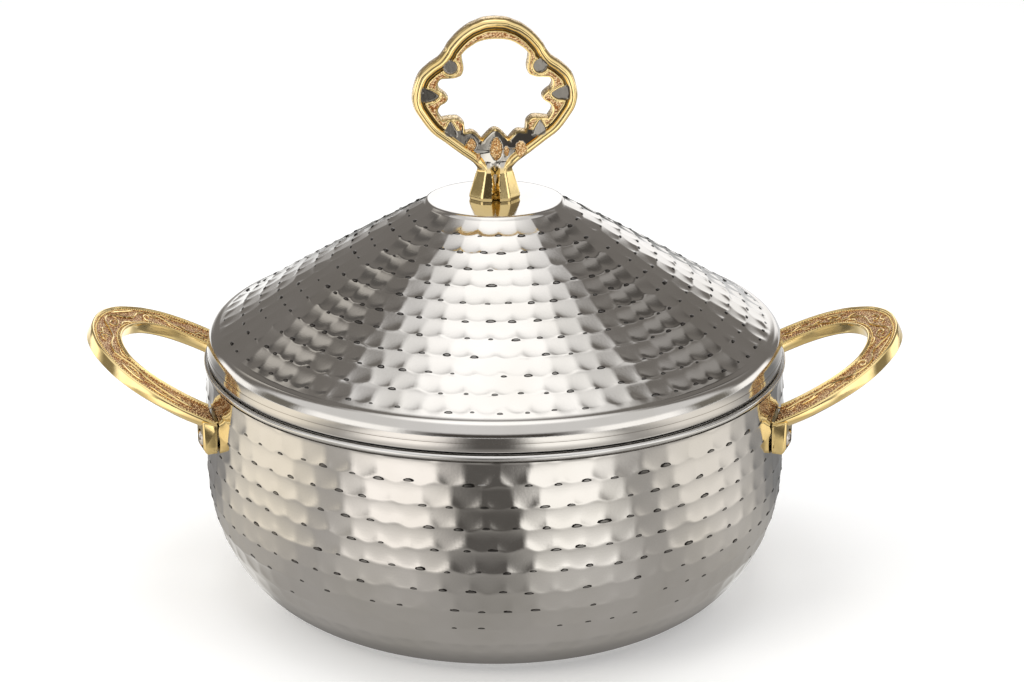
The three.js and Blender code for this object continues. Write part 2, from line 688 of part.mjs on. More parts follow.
// A petal that stands out of both faces of the knob's sunk field
function makePetal([across, up, halfWidth, halfHeight]) {
  const petal = new THREE.SphereGeometry(1, PETAL_POINTS, PETAL_ROWS);
  const thick = KNOB_WEB_THICKNESS / 2 + PETAL_RISE;
  petal.scale(halfWidth * KNOB_HALF_WIDTH, thick, halfHeight * KNOB_HEIGHT);
  return toSolid(petal.translate(across * KNOB_HALF_WIDTH, 0, up * KNOB_HEIGHT));
}

// The cast knob: raised rim, sunk web, raised border round the hole, petals and stem in one piece
function makeKnob() {
  const outline = knobOutline();
  const hole = knobHole();
  const rimInside = offsetOutline(outline, -KNOB_RIM, true);
  const borderOutside = offsetOutline(hole, KNOB_BORDER, true);
  const webOutline = offsetOutline(outline, -KNOB_RIM / 2, true);
  const webHole = offsetOutline(hole, KNOB_BORDER / 2, true);
  let knob = uprightPlate(webOutline, [webHole], KNOB_WEB_THICKNESS, 0);
  knob = knob.add(uprightPlate(outline, [rimInside], KNOB_THICKNESS, KNOB_ROUND));
  knob = knob.add(uprightPlate(borderOutside, [hole], KNOB_BORDER_THICKNESS, 0));
  for (const petal of KNOB_PETAL_SHARES) knob = knob.add(makePetal(petal));
  knob = knob.add(makeStem());
  return knob.subtract(disc(STUD_RADIUS + STUD_CLEARANCE, -STUD_REACH, STUD_REACH));
}

const pot = new THREE.Group();
pot.add(toMesh('outer_shell', makeOuterShell(), steel));
pot.add(toMesh('inner_bowl', makeInnerBowl(), satin));
pot.add(toMesh('bowl_insulation', makeBodyFoam(), foam));

const basePlug = toMesh('base_fill_plug', makePlug(BASE_HOLE_RADIUS), rubber);
basePlug.position.z = PANEL_RISE;
pot.add(basePlug);

for (const [side, turn] of [['right', 0], ['left', Math.PI]]) {
  const handle = toMesh(`handle_${side}`, makeHandle(), gold);
  handle.rotation.z = turn;
  pot.add(handle);
}

for (const [place, azimuth] of FIXINGS) {
  const screw = makeScrew(SCREW_RADIUS, headSeat - screwTip, SCREW_HEAD_RADIUS, SCREW_HEAD_HEIGHT);
  const washer = makeWasher(WASHER_RADIUS, SCREW_RADIUS + SCREW_CLEARANCE, WASHER_THICKNESS);
  pot.add(placeAtFixing(toMesh(`handle_screw_${place}`, screw, zinc), azimuth, headSeat));
  const washerOut = washerFace - WASHER_THICKNESS;
  pot.add(placeAtFixing(toMesh(`handle_washer_${place}`, washer, zinc), azimuth, washerOut));
  pot.add(placeAtFixing(toMesh(`handle_nut_${place}`, makeNut(), zinc), azimuth, nutFace - NUT_THICKNESS));
}

const lid = new THREE.Group();
lid.rotation.z = LID_TURN;
lid.add(toMesh('lid_shell', makeLidShell(), steel));
lid.add(toMesh('lid_liner', makeLiner(), satin));
lid.add(toMesh('lid_insulation', makeLidFoam(), foam));

const linerPlugMesh = toMesh('lid_fill_plug', makePlug(LINER_HOLE_RADIUS), rubber);
linerPlugMesh.position.z = linerFloor + LINER_CROWN;
lid.add(linerPlugMesh);

const knob = toMesh('knob', makeKnob(), gold);
knob.position.z = lidDisc + SEAT_GAP;
lid.add(knob);

const studWasherTop = lidDisc - SHEET - SEAT_GAP;
const studWasher = makeWasher(STUD_WASHER_RADIUS, STUD_RADIUS + STUD_CLEARANCE, STUD_WASHER_THICKNESS);
const studWasherMesh = toMesh('knob_washer', studWasher, zinc);
studWasherMesh.position.z = studWasherTop - STUD_WASHER_THICKNESS;
lid.add(studWasherMesh);

// The knob's screw points up, with its head under the washer
const studSeat = studWasherTop - STUD_WASHER_THICKNESS - SEAT_GAP;
const studLength = lidDisc + STUD_REACH - SEAT_GAP - studSeat;
const stud = makeScrew(STUD_RADIUS, studLength, STUD_HEAD_RADIUS, STUD_HEAD_HEIGHT);
const studMesh = toMesh('knob_screw', stud, zinc);
studMesh.rotation.x = Math.PI;
studMesh.position.z = studSeat;
lid.add(studMesh);

const group = new THREE.Group();
group.add(pot, lid);

export default group;
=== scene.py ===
"""Studio scene of an insulated chapati casserole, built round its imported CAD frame.

The pot and the lid are hand-hammered steel, and the ring knob and the two loop handles are
gold-plated castings. Sizes are in millimetres until a mesh is made, heights are above the base,
and the handles lie along X.
"""

import json
import logging
import math
from dataclasses import dataclass, field
from enum import Enum

import bmesh
import bpy
import numpy as np
from bpy.types import Material, Node, NodeSocket, NodeTree, Object, World
from mathutils import Matrix, Vector
from mathutils.geometry import delaunay_2d_cdt

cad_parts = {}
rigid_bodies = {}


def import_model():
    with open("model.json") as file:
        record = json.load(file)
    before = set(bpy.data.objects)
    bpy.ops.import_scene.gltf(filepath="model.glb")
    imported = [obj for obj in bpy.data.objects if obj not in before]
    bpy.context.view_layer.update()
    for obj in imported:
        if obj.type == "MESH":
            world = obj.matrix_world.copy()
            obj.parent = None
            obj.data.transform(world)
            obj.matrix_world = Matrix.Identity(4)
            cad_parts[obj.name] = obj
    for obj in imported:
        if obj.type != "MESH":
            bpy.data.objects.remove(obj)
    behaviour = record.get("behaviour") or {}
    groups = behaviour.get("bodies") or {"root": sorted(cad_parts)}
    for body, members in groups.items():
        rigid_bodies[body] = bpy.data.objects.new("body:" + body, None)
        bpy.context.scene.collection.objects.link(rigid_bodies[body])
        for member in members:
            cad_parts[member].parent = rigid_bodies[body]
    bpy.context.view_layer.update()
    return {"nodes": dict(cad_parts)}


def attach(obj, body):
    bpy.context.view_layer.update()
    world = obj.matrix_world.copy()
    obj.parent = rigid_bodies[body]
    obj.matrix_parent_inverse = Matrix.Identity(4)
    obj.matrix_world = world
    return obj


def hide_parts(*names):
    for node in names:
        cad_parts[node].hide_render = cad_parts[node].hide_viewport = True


MM = 0.001
FULL_TURN = 2 * math.pi
POT, LID = "pot", "lid"
CURVE_STEPS = 24  # places between two given points of a smooth curve, before it is divided evenly
PART = 4000  # places that distance_to handles at a time
POLE = 1e-6  # a radius below this lies on the axis
MERGE = 1e-7  # in metres

log = logging.getLogger("casserole")

Colour = tuple[float, float, float]
Point = tuple[float, float]
Place = tuple[float, float, float]
Array = np.ndarray


class Slot(Enum):
    """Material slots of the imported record."""

    HAMMERED = "hammered_steel"
    SATIN = "satin_steel"
    GOLD = "gold_casting"
    ZINC = "zinc_fixing"
    FOAM = "foam"
    RUBBER = "plug_rubber"


def smooth_curve(points: tuple | list | Array, step: float, closed: bool = False) -> Array:
    """Lay a Catmull-Rom curve through points and divide it evenly.

    Args:
        points: places that the curve passes through.
        step: wanted distance between two places of the result.
        closed: whether the last point runs on to the first.

    Returns:
        The places, one a row. A closed curve doesn't repeat its first place.
    """
    base = np.asarray(points, float)
    base = np.vstack([base[-1:], base, base[:2]] if closed else [base[:1], base, base[-1:]])
    share = (np.arange(CURVE_STEPS) / CURVE_STEPS)[:, None]
    runs = [0.5 * (2 * b + (c - a) * share + (2 * a - 5 * b + 4 * c - d) * share**2
                   + (3 * b - a - 3 * c + d) * share**3)
            for a, b, c, d in zip(base, base[1:], base[2:], base[3:])]
    return divide_evenly(np.vstack(runs + [base[-2:-1]]), step, closed)


def divide_evenly(line: Array, step: float, closed: bool = False) -> Array:
    """Place points on a polyline at equal distances of about one step."""
    run = np.concatenate([[0], np.cumsum(np.linalg.norm(np.diff(line, axis=0), axis=1))])
    at = np.linspace(0, run[-1], max(round(run[-1] / step), 2) + 1)
    if closed:
        at = at[:-1]
    return np.column_stack([np.interp(at, run, line[:, k]) for k in range(line.shape[1])])


def ramp(value: Array, low: float, high: float) -> Array:
    """Rise smoothly from 0 at low to 1 at high."""
    share = np.clip((value - low) / (high - low), 0, 1)
    return share * share * (3 - 2 * share)


def hump(value: Array, centre: float, half_width: float) -> Array:
    """Rise smoothly to 1 at a centre, and fall back to 0 on both sides."""
    return np.clip(1 - ((value - centre) / half_width) ** 2, 0, 1)


def distance_to(places: Array, line: Array, closed: bool = True) -> Array:
    """Distance from each place to a polyline in the plane."""
    starts = line if closed else line[:-1]
    ends = np.roll(line, -1, axis=0) if closed else line[1:]
    along = ends - starts
    length = np.maximum((along**2).sum(1), 1e-12)
    found = np.empty(len(places))
    for low in range(0, len(places), PART):
        out = places[low:low + PART, None, :] - starts[None]
        share = np.clip((out * along).sum(2) / length, 0, 1)
        gap = out - share[:, :, None] * along
        found[low:low + PART] = np.sqrt((gap**2).sum(2).min(1))
    return found


def inside(places: Array, loop: Array) -> Array:
    """Whether each place is inside a closed loop in the plane."""
    hit = np.zeros(len(places), bool)
    x, y = places[:, 0], places[:, 1]
    for (ax, ay), (bx, by) in zip(loop, np.roll(loop, -1, axis=0)):
        if ay != by:
            crosses = (ay > y) != (by > y)
            hit ^= crosses & (x < (bx - ax) * (y - ay) / (by - ay) + ax)
    return hit


def depth_in(places: Array, loop: Array) -> Array:
    """Distance to a loop, above zero inside it and below zero outside."""
    return distance_to(places, loop) * np.where(inside(places, loop), 1, -1)


def beside(radius: float, height: float, *offsets: Point) -> list[Point]:
    """Places of an outline, each given by its distance outwards and upwards from one place."""
    return [(radius + out, height + up) for out, up in offsets]


def arc(centre: Point, across: float, up: float, degrees: list[float] | Array) -> list[Point]:
    """Places of an outline on an ellipse, at angles from its outer side."""
    return [(centre[0] + across * math.cos(t), centre[1] + up * math.sin(t)) for t in np.radians(degrees)]


def new_object(name: str, verts: Array | list, faces: list, edges: list | None = None) -> Object:
    """Make a mesh object at the origin from places in millimetres."""
    mesh = bpy.data.meshes.new(name)
    mesh.from_pydata([tuple(v) for v in np.asarray(verts, float) * MM], edges or [], faces)
    mesh.validate()
    obj = bpy.data.objects.new(name, mesh)
    bpy.context.scene.collection.objects.link(obj)
    return obj


def vertex_places(obj: Object) -> Array:
    """Place of every vertex in millimetres, one a row."""
    places = np.empty(3 * len(obj.data.vertices))
    obj.data.vertices.foreach_get("co", places)
    return places.reshape(-1, 3) / MM


def tidy_normals(obj: Object) -> None:
    """Merge doubles and turn every face outwards."""
    work = bmesh.new()
    work.from_mesh(obj.data)
    bmesh.ops.remove_doubles(work, verts=work.verts, dist=MERGE)
    bmesh.ops.recalc_face_normals(work, faces=work.faces)
    work.to_mesh(obj.data)
    work.free()


def shade(obj: Object, sharp_from: float = 40) -> None:
    """Shade smooth, with sharp edges from an angle in degrees."""
    obj.data.shade_smooth()
    obj.data.set_sharp_from_angle(angle=math.radians(sharp_from))


def put_values(obj: Object, name: str, values: Array) -> None:
    """Store one number for each vertex as a named attribute."""
    layer = obj.data.attributes.new(name, "FLOAT", "POINT")
    layer.data.foreach_set("value", np.asarray(values, np.float32))


def lathe(name: str, outline: list[Point], columns: int) -> Object:
    """Turn a closed outline about the Z axis into a closed mesh.

    Args:
        name: name of the new object.
        outline: radius and height of each place, once round the section. Places on the axis
            become poles.
        columns: number of faces round the axis.

    Returns:
        The object, with faces outwards.
    """
    angles = np.arange(columns) * FULL_TURN / columns
    ring = np.column_stack([np.cos(angles), np.sin(angles)])
    verts, starts = [], []
    for radius, height in outline:
        starts.append(len(verts))
        verts += [(0, 0, height)] if radius < POLE else [(radius * c, radius * s, height) for c, s in ring]
    faces = []
    for low in range(len(outline)):
        high = (low + 1) % len(outline)
        pole_low, pole_high = outline[low][0] < POLE, outline[high][0] < POLE
        if pole_low and pole_high:
            continue
        a, b = starts[low], starts[high]
        for i in range(columns):
            j = (i + 1) % columns
            if pole_low:
                faces.append((a, b + j, b + i))
            elif pole_high:
                faces.append((a + i, a + j, b))
            else:
                faces.append((a + i, a + j, b + j, b + i))
    obj = new_object(name, verts, faces)
    tidy_normals(obj)
    return obj


def boolean(obj: Object, tool: Object, operation: str) -> None:
    """Cut or join a tool into an object and remove the tool."""
    modifier = obj.modifiers.new("boolean", "BOOLEAN")
    modifier.operation, modifier.solver, modifier.object = operation, "EXACT", tool
    bake_modifiers(obj)
    remove(tool)


def bake_modifiers(obj: Object) -> None:
    """Replace an object's mesh by the result of its modifiers, and drop them."""
    bpy.context.view_layer.update()
    graph = bpy.context.evaluated_depsgraph_get()
    mesh = bpy.data.meshes.new_from_object(obj.evaluated_get(graph))
    old = obj.data
    obj.modifiers.clear()
    obj.data = mesh
    mesh.name = obj.name
    if old.users == 0:
        bpy.data.batch_remove([old])


def remove(*helpers: Object) -> None:
    """Delete helper objects."""
    for helper in helpers:
        bpy.data.objects.remove(helper, do_unlink=True)


@dataclass(frozen=True)
class Signal:
    """An output of a node, which adds, subtracts, multiplies and divides as a number does."""

    tree: NodeTree
    socket: NodeSocket

    def math(self, operation: str, *others: "Signal | float") -> "Signal":
        """Feed this signal and others into a Math node."""
        return signal(self.tree, "ShaderNodeMath", dict(enumerate((self, *others))), operation=operation)

    def __add__(self, other: "Signal | float") -> "Signal":
        """Add a signal or a number."""
        return self.math("ADD", other)

    def __sub__(self, other: "Signal | float") -> "Signal":
        """Take a signal or a number away."""
        return self.math("SUBTRACT", other)

    def __mul__(self, other: "Signal | float") -> "Signal":
        """Multiply by a signal or a number."""
        return self.math("MULTIPLY", other)

    def __truediv__(self, other: "Signal | float") -> "Signal":
        """Divide by a signal or a number."""
        return self.math("DIVIDE", other)


def put(tree: NodeTree, kind: str, feeds: dict | None = None, **settings) -> Node:
    """Add a node, with its settings and the signals or values that feed its sockets."""
    node = tree.nodes.new(kind)
    for key, value in settings.items():
        setattr(node, key, value)
    for key, value in (feeds or {}).items():
        if isinstance(value, Signal):
            tree.links.new(value.socket, node.inputs[key])
        else:
            node.inputs[key].default_value = value
    return node


def signal(tree: NodeTree, kind: str, feeds: dict | None = None, output: int | str = 0, **settings) -> Signal:
    """Add a node and return one of its outputs."""
    return Signal(tree, put(tree, kind, feeds, **settings).outputs[output])


def signals(tree: NodeTree, kind: str, feeds: dict | None = None, **settings) -> dict[str, Signal]:
    """Add a node and return its outputs by name."""
    return {socket.name: Signal(tree, socket) for socket in put(tree, kind, feeds, **settings).outputs}


def split(tree: NodeTree, place: Signal) -> dict[str, Signal]:
    """Parts X, Y and Z of a vector."""
    return signals(tree, "ShaderNodeSeparateXYZ", {0: place})


def vector(tree: NodeTree, **parts: Signal | float) -> Signal:
    """Make a vector of its parts X, Y and Z."""
    return signal(tree, "ShaderNodeCombineXYZ", parts)


def from_axis(tree: NodeTree, place: dict[str, Signal]) -> Signal:
    """Distance of a split place from the Z axis."""
    flat = vector(tree, X=place["X"], Y=place["Y"])
    return signal(tree, "ShaderNodeVectorMath", {0: flat}, "Value", operation="LENGTH")


def spread(tree: NodeTree, value: Signal, low: float, high: float, to_low: Signal | float,
           to_high: Signal | float) -> Signal:
    """Stretch a value from one range to another, kept within it."""
    feeds = {"Value": value, "From Min": low, "From Max": high, "To Min": to_low, "To Max": to_high}
    return signal(tree, "ShaderNodeMapRange", feeds)


def new_tree(name: str, kind: str, inputs: dict, outputs: dict) -> tuple[NodeTree, dict[str, Signal]]:
    """Make a node group with named sockets.

    Args:
        name: name of the group.
        kind: ShaderNodeTree or GeometryNodeTree.
        inputs: socket kind and default value by name.
        outputs: socket kind by name.

    Returns:
        The group and what is fed into it, by name.
    """
    tree = bpy.data.node_groups.new(name, kind)
    for label, (socket_kind, value) in inputs.items():
        socket = tree.interface.new_socket(name=label, in_out="INPUT", socket_type=socket_kind)
        if value is not None:
            socket.default_value = value
    for label, socket_kind in outputs.items():
        tree.interface.new_socket(name=label, in_out="OUTPUT", socket_type=socket_kind)
    return tree, signals(tree, "NodeGroupInput")


def grow(obj: Object, tree: NodeTree, values: dict) -> None:
    """Run a geometry tree on an object once and keep the result as its plain mesh."""
    modifier = obj.modifiers.new(tree.name, "NODES")
    modifier.node_group = tree
    for item in tree.interface.items_tree:
        if item.item_type == "SOCKET" and item.in_out == "INPUT" and item.name in values:
            modifier[item.identifier] = values[item.name]
    obj.update_tag()
    bake_modifiers(obj)


def random_value(tree: NodeTree, low: float, high: float, number: Signal, seed: Signal) -> Signal:
    """Draw a random value for a number, the same one each run."""
    node = put(tree, "FunctionNodeRandomValue", {"ID": number, "Seed": seed}, data_type="FLOAT")
    node.inputs[2].default_value, node.inputs[3].default_value = low, high
    return Signal(tree, node.outputs[1])


def stored(tree: NodeTree, name: str) -> Signal:
    """Number that a geometry holds at each vertex."""
    return signal(tree, "GeometryNodeInputNamedAttribute", {"Name": name}, "Attribute", data_type="FLOAT")


def shape_of(tree: NodeTree, carrier: Signal) -> Signal:
    """Geometry of an object that is fed in."""
    return signal(tree, "GeometryNodeObjectInfo", {"Object": carrier}, "Geometry")


def curve_of(tree: NodeTree, carrier: Signal) -> Signal:
    """Curve along the edges of an object that is fed in."""
    return signal(tree, "GeometryNodeMeshToCurve", {"Mesh": shape_of(tree, carrier)})


def join(tree: NodeTree, *parts: Signal) -> Signal:
    """Join geometries."""
    joined = put(tree, "GeometryNodeJoinGeometry")
    for part in parts:
        tree.links.new(part.socket, joined.inputs[0])
    return Signal(tree, joined.outputs[0])


def end_tree(tree: NodeTree, geometry: Signal, finish: Signal) -> NodeTree:
    """End a geometry tree: make instances real, give the result its finish and put it out."""
    real = signal(tree, "GeometryNodeRealizeInstances", {0: geometry})
    done = signal(tree, "GeometryNodeSetMaterial", {"Geometry": real, "Material": finish})
    put(tree, "NodeGroupOutput", {0: done})
    return tree


GEOMETRY_TREE, SHADER_TREE = "GeometryNodeTree", "ShaderNodeTree"
FLOAT, INT = "NodeSocketFloat", "NodeSocketInt"
GEOMETRY, OBJECT, MATERIAL = "NodeSocketGeometry", "NodeSocketObject", "NodeSocketMaterial"
ROW_SHIFT = 50.0  # keeps a row's number above zero where it picks a random value
ROW_STRIDE = 997.0  # more than the blows in any row, so that every blow has its own number
CORNER_SHARE = 0.97  # how far down its row a corner between blows lies
ROW_INPUTS = {
    "Rows": (FLOAT, 10.0), "Top Radius": (FLOAT, 0.12), "Foot Radius": (FLOAT, 0.12),
    "Top Spacing": (FLOAT, 0.0115), "Foot Spacing": (FLOAT, 0.0115), "Faded Rows": (FLOAT, 0.01), "Seed": (INT, 1),
}


def row_layout_tree() -> NodeTree:
    """Build the tree that lays out one row: how many blows, where they start and how strong they are."""
    tree, given = new_tree("row_layout", GEOMETRY_TREE, {"Row": (FLOAT, 0.0), **ROW_INPUTS},
                           {"Count": FLOAT, "Start": FLOAT, "Strength": FLOAT})
    row, rows = given["Row"], given["Rows"]
    share = (row + 0.5) / rows
    radius, spacing = (signal(tree, "ShaderNodeMix", {0: share, 2: given[f"Top {kind}"], 3: given[f"Foot {kind}"]})
                       for kind in ("Radius", "Spacing"))
    count = (radius * FULL_TURN / spacing).math("ROUND")
    start = random_value(tree, 0.0, 1.0, row + ROW_SHIFT, given["Seed"])
    fade = ((rows - row) / given["Faded Rows"]).math("MAXIMUM", 0.0).math("MINIMUM", 1.0)
    put(tree, "NodeGroupOutput", {0: count, 1: start, 2: fade * row.math("GREATER_THAN", -0.5)})
    return tree


def row_layout(tree: NodeTree, layout: NodeTree, given: dict[str, Signal], row: Signal) -> list[Signal]:
    """Count, start and strength of the blows in a row."""
    feeds = {"Row": row, **{name: given[name] for name in ROW_INPUTS}}
    return list(signals(tree, "GeometryNodeGroup", feeds, node_tree=layout).values())


def single_blow_tree(layout: NodeTree) -> NodeTree:
    """Build the tree of one blow: how deep it dents the sheet at each vertex.

    The blow is found by its row and by its number round the row. It is longer round the pot than
    across the row, and longer still in its upper half, so that its foot is a round arc.
    """
    tree, given = new_tree("single_blow", GEOMETRY_TREE, {
        "Row Step": (FLOAT, 0.0), "Turn Step": (FLOAT, 0.0), "Pitch": (FLOAT, 0.009), "Wander": (FLOAT, 0.15),
        "Depth": (FLOAT, 0.0003), "Ball Radius": (FLOAT, 0.06), "Wide Top": (FLOAT, 1.9), "Wide Foot": (FLOAT, 1.1),
        **ROW_INPUTS,
    }, {"Dent": FLOAT})
    along = stored(tree, "row_place")
    row = along.math("FLOOR") + given["Row Step"]
    count, start, strength = row_layout(tree, layout, given, row)
    place = split(tree, signal(tree, "GeometryNodeInputPosition"))
    turn = place["Y"].math("ARCTAN2", place["X"]) / FULL_TURN
    number = (turn + 1.0) * count + start
    mine = number.math("FLOOR") + given["Turn Step"]
    blow = (row + ROW_SHIFT).math("MULTIPLY_ADD", ROW_STRIDE, mine.math("FLOORED_MODULO", count))
    side_seed, rise_seed, force_seed = (given["Seed"] + float(extra) for extra in (1, 3, 4))
    sideways = random_value(tree, -1.0, 1.0, blow, side_seed) * given["Wander"]
    upwards = random_value(tree, -1.0, 1.0, blow, rise_seed) * given["Wander"]
    across = (number - (mine + 0.5) - sideways) * (from_axis(tree, place) * FULL_TURN / count)
    down = along - (row + 0.5) - upwards * 0.5
    across = across / spread(tree, down, -0.3, 0.3, given["Wide Top"], given["Wide Foot"])
    down = down * given["Pitch"]
    rise = across.math("MULTIPLY_ADD", across, down * down) / (given["Ball Radius"] * 2.0)
    force = random_value(tree, 0.86, 1.1, blow, force_seed) * strength
    put(tree, "NodeGroupOutput", {0: given["Depth"] * force - rise})
    return tree


def hammer_blow_tree(layout: NodeTree) -> NodeTree:
    """Build the tree that strikes rows of shallow dents into a turned sheet."""
    one = single_blow_tree(layout)
    shared = {item.name: (item.socket_type, item.default_value) for item in one.interface.items_tree
              if item.in_out == "INPUT" and not item.name.endswith("Step")}
    tree, given = new_tree("hammer_blows", GEOMETRY_TREE, {
        "Sheet": (GEOMETRY, None), "Finish": (MATERIAL, None), "Cliff": (FLOAT, 0.6), **shared,
    }, {"Struck": GEOMETRY})
    deepest = None
    for row_step in (-1.0, 0.0, 1.0):
        for turn_step in (-1.0, 0.0, 1.0):
            feeds = {"Row Step": row_step, "Turn Step": turn_step, **{name: given[name] for name in shared}}
            dent = signal(tree, "GeometryNodeGroup", feeds, node_tree=one)
            deepest = dent if deepest is None else deepest.math("MAXIMUM", dent)
    share = (deepest / given["Depth"]).math("MAXIMUM", 0.0)
    push = share.math("POWER", given["Cliff"]) * given["Depth"] * stored(tree, "struck") * -1.0
    offset = signal(tree, "ShaderNodeVectorMath", {0: signal(tree, "GeometryNodeInputNormal"), "Scale": push},
                    operation="SCALE")
    sheet = signal(tree, "GeometryNodeSetPosition", {"Geometry": given["Sheet"], "Offset": offset})
    return end_tree(tree, sheet, given["Finish"])


def peak_tree(layout: NodeTree) -> NodeTree:
    """Build the tree that leaves a small flat peak wherever two blows of a row meet the next row."""
    tree, given = new_tree("unstruck_peaks", GEOMETRY_TREE, {
        "Carrier": (GEOMETRY, None), "Line": (OBJECT, None), "Peak": (OBJECT, None), "Finish": (MATERIAL, None),
        "Most": (INT, 70), "Scatter": (FLOAT, 0.09), "Least": (FLOAT, 0.3), **ROW_INPUTS,
    }, {"Peaks": GEOMETRY})
    points = signal(tree, "GeometryNodeMeshLine", {"Count": given["Most"] * given["Rows"]}, count_mode="TOTAL")
    index = signal(tree, "GeometryNodeInputIndex")
    row = ((index + 0.5) / given["Most"]).math("FLOOR")
    number = index - row * given["Most"]
    count, start, strength = row_layout(tree, layout, given, row)
    side_seed, rise_seed, size_seed, length_seed = (given["Seed"] + float(extra) for extra in (11, 12, 13, 14))
    sideways = random_value(tree, -1.0, 1.0, index, side_seed) * given["Scatter"]
    upwards = random_value(tree, -0.6, 0.6, index, rise_seed) * given["Scatter"]
    angle = (number + sideways - start) / count * FULL_TURN
    along = (row + CORNER_SHARE + upwards) / given["Rows"]
    found = signals(tree, "GeometryNodeSampleCurve", {"Curves": curve_of(tree, given["Line"]), "Factor": along},
                    mode="FACTOR")
    tangent, section = split(tree, found["Tangent"]), split(tree, found["Position"])
    lean = (tangent["Z"] * -1.0).math("ARCTAN2", tangent["X"])
    radius = section["X"]
    place = vector(tree, X=angle.math("COSINE") * radius, Y=angle.math("SINE") * radius, Z=section["Z"])
    size = random_value(tree, 0.6, 1.2, index, size_seed) * strength
    length = size * random_value(tree, 0.8, 1.15, index, length_seed)
    placed = signal(tree, "GeometryNodeInstanceOnPoints", {
        "Points": signal(tree, "GeometryNodeSetPosition", {"Geometry": points, "Position": place}),
        "Selection": number.math("LESS_THAN", count - 0.5) * size.math("GREATER_THAN", given["Least"]),
        "Instance": shape_of(tree, given["Peak"]), "Rotation": vector(tree, Y=lean, Z=angle),
        "Scale": vector(tree, X=size, Y=length, Z=1.0)})
    return end_tree(tree, placed, given["Finish"])


def ornament_tree() -> NodeTree:
    """Build the tree that lays raised ribs and rows of beads on a casting."""
    tree, given = new_tree("cast_ornament", GEOMETRY_TREE, {
        "Casting": (GEOMETRY, None), "Ribs": (OBJECT, None), "Rows": (OBJECT, None), "Finish": (MATERIAL, None),
        "Rib Radius": (FLOAT, 0.0005), "Bead Radius": (FLOAT, 0.0004), "Bead Spacing": (FLOAT, 0.00105),
        "Unevenness": (FLOAT, 0.3), "Seed": (INT, 4),
    }, {"Ornamented": GEOMETRY})
    ring = signal(tree, "GeometryNodeCurvePrimitiveCircle", {"Resolution": 8, "Radius": given["Rib Radius"]},
                  mode="RADIUS")
    ribs = signal(tree, "GeometryNodeCurveToMesh", {
        "Curve": curve_of(tree, given["Ribs"]), "Profile Curve": ring, "Scale": stored(tree, "thick"),
        "Fill Caps": True})
    places = signal(tree, "GeometryNodeResampleCurve",
                    {"Curve": curve_of(tree, given["Rows"]), "Length": given["Bead Spacing"]}, mode="LENGTH")
    bead = signal(tree, "GeometryNodeMeshIcoSphere", {"Radius": given["Bead Radius"], "Subdivisions": 2})
    varied = random_value(tree, -1.0, 0.5, signal(tree, "GeometryNodeInputIndex"), given["Seed"])
    beads = signal(tree, "GeometryNodeInstanceOnPoints",
                   {"Points": places, "Instance": bead, "Scale": varied * given["Unevenness"] + 1.0})
    raised = signal(tree, "GeometryNodeRealizeInstances", {0: join(tree, beads, ribs)})
    smooth = signal(tree, "GeometryNodeStoreNamedAttribute",
                    {"Geometry": raised, "Name": "stipple", "Value": 0.0}, data_type="FLOAT", domain="POINT")
    return end_tree(tree, join(tree, smooth, given["Casting"]), given["Finish"])


def fixing_tree() -> NodeTree:
    """Build the tree that sets one screw at every lug round the pot."""
    tree, given = new_tree("lug_screws", GEOMETRY_TREE, {
        "Carrier": (GEOMETRY, None), "Screw": (OBJECT, None), "Count": (INT, 4), "Azimuth": (FLOAT, 0.35),
        "Seat Radius": (FLOAT, 0.12), "Height": (FLOAT, 0.08), "Spin": (FLOAT, 0.9), "Seed": (INT, 2),
        "Finish": (MATERIAL, None),
    }, {"Screws": GEOMETRY})
    row = signal(tree, "GeometryNodeMeshLine", {"Count": given["Count"]}, count_mode="TOTAL")
    index = signal(tree, "GeometryNodeInputIndex")
    side = (index / 2.0).math("FLOOR") * math.pi
    sign = index.math("FLOORED_MODULO", 2.0).math("MULTIPLY_ADD", 2.0, -1.0)
    angle = sign.math("MULTIPLY_ADD", given["Azimuth"], side)
    radius = given["Seat Radius"]
    place = vector(tree, X=angle.math("COSINE") * radius, Y=angle.math("SINE") * radius, Z=given["Height"])
    twist = vector(tree, Z=random_value(tree, 0.0, 1.0, index, given["Seed"]) * given["Spin"])
    outwards = vector(tree, Y=math.pi / 2, Z=angle)
    placed = signal(tree, "GeometryNodeInstanceOnPoints", {
        "Points": signal(tree, "GeometryNodeSetPosition", {"Geometry": row, "Position": place}),
        "Instance": shape_of(tree, given["Screw"]),
        "Rotation": signal(tree, "FunctionNodeRotateEuler", {0: twist, 1: outwards}, space="OBJECT")})
    return end_tree(tree, placed, given["Finish"])


def emptied(owner: Material | World) -> NodeTree:
    """Empty node tree of a new material or world."""
    owner.use_nodes = True
    owner.node_tree.nodes.clear()
    return owner.node_tree


def object_place(tree: NodeTree) -> Signal:
    """Texture coordinates in the part's own frame, in metres."""
    return signal(tree, "ShaderNodeTexCoord", output="Object")


def noise(tree: NodeTree, scale: Signal | float, detail: float = 3.0, where: Signal | None = None) -> Signal:
    """Noise Texture at a place, which is the object's own where none is given."""
    return signal(tree, "ShaderNodeTexNoise", {
        "Vector": where or object_place(tree), "Scale": scale, "Detail": detail})


def painted(tree: NodeTree, name: str) -> Signal:
    """Number that a mesh holds at each vertex, in a material."""
    return signal(tree, "ShaderNodeAttribute", output="Fac", attribute_name=name)


def mix_colour(tree: NodeTree, share: Signal | float, first: Signal | Colour, second: Signal | Colour) -> Signal:
    """Mix two colours by a share."""
    first, second = ((*colour, 1.0) if isinstance(colour, tuple) else colour for colour in (first, second))
    return signal(tree, "ShaderNodeMix", {0: share, 6: first, 7: second}, 2, data_type="RGBA")


def use(tree: NodeTree, group: NodeTree, **feeds: float) -> Signal:
    """Place a shader group in a material and return its first output."""
    return signal(tree, "ShaderNodeGroup", feeds, node_tree=group)


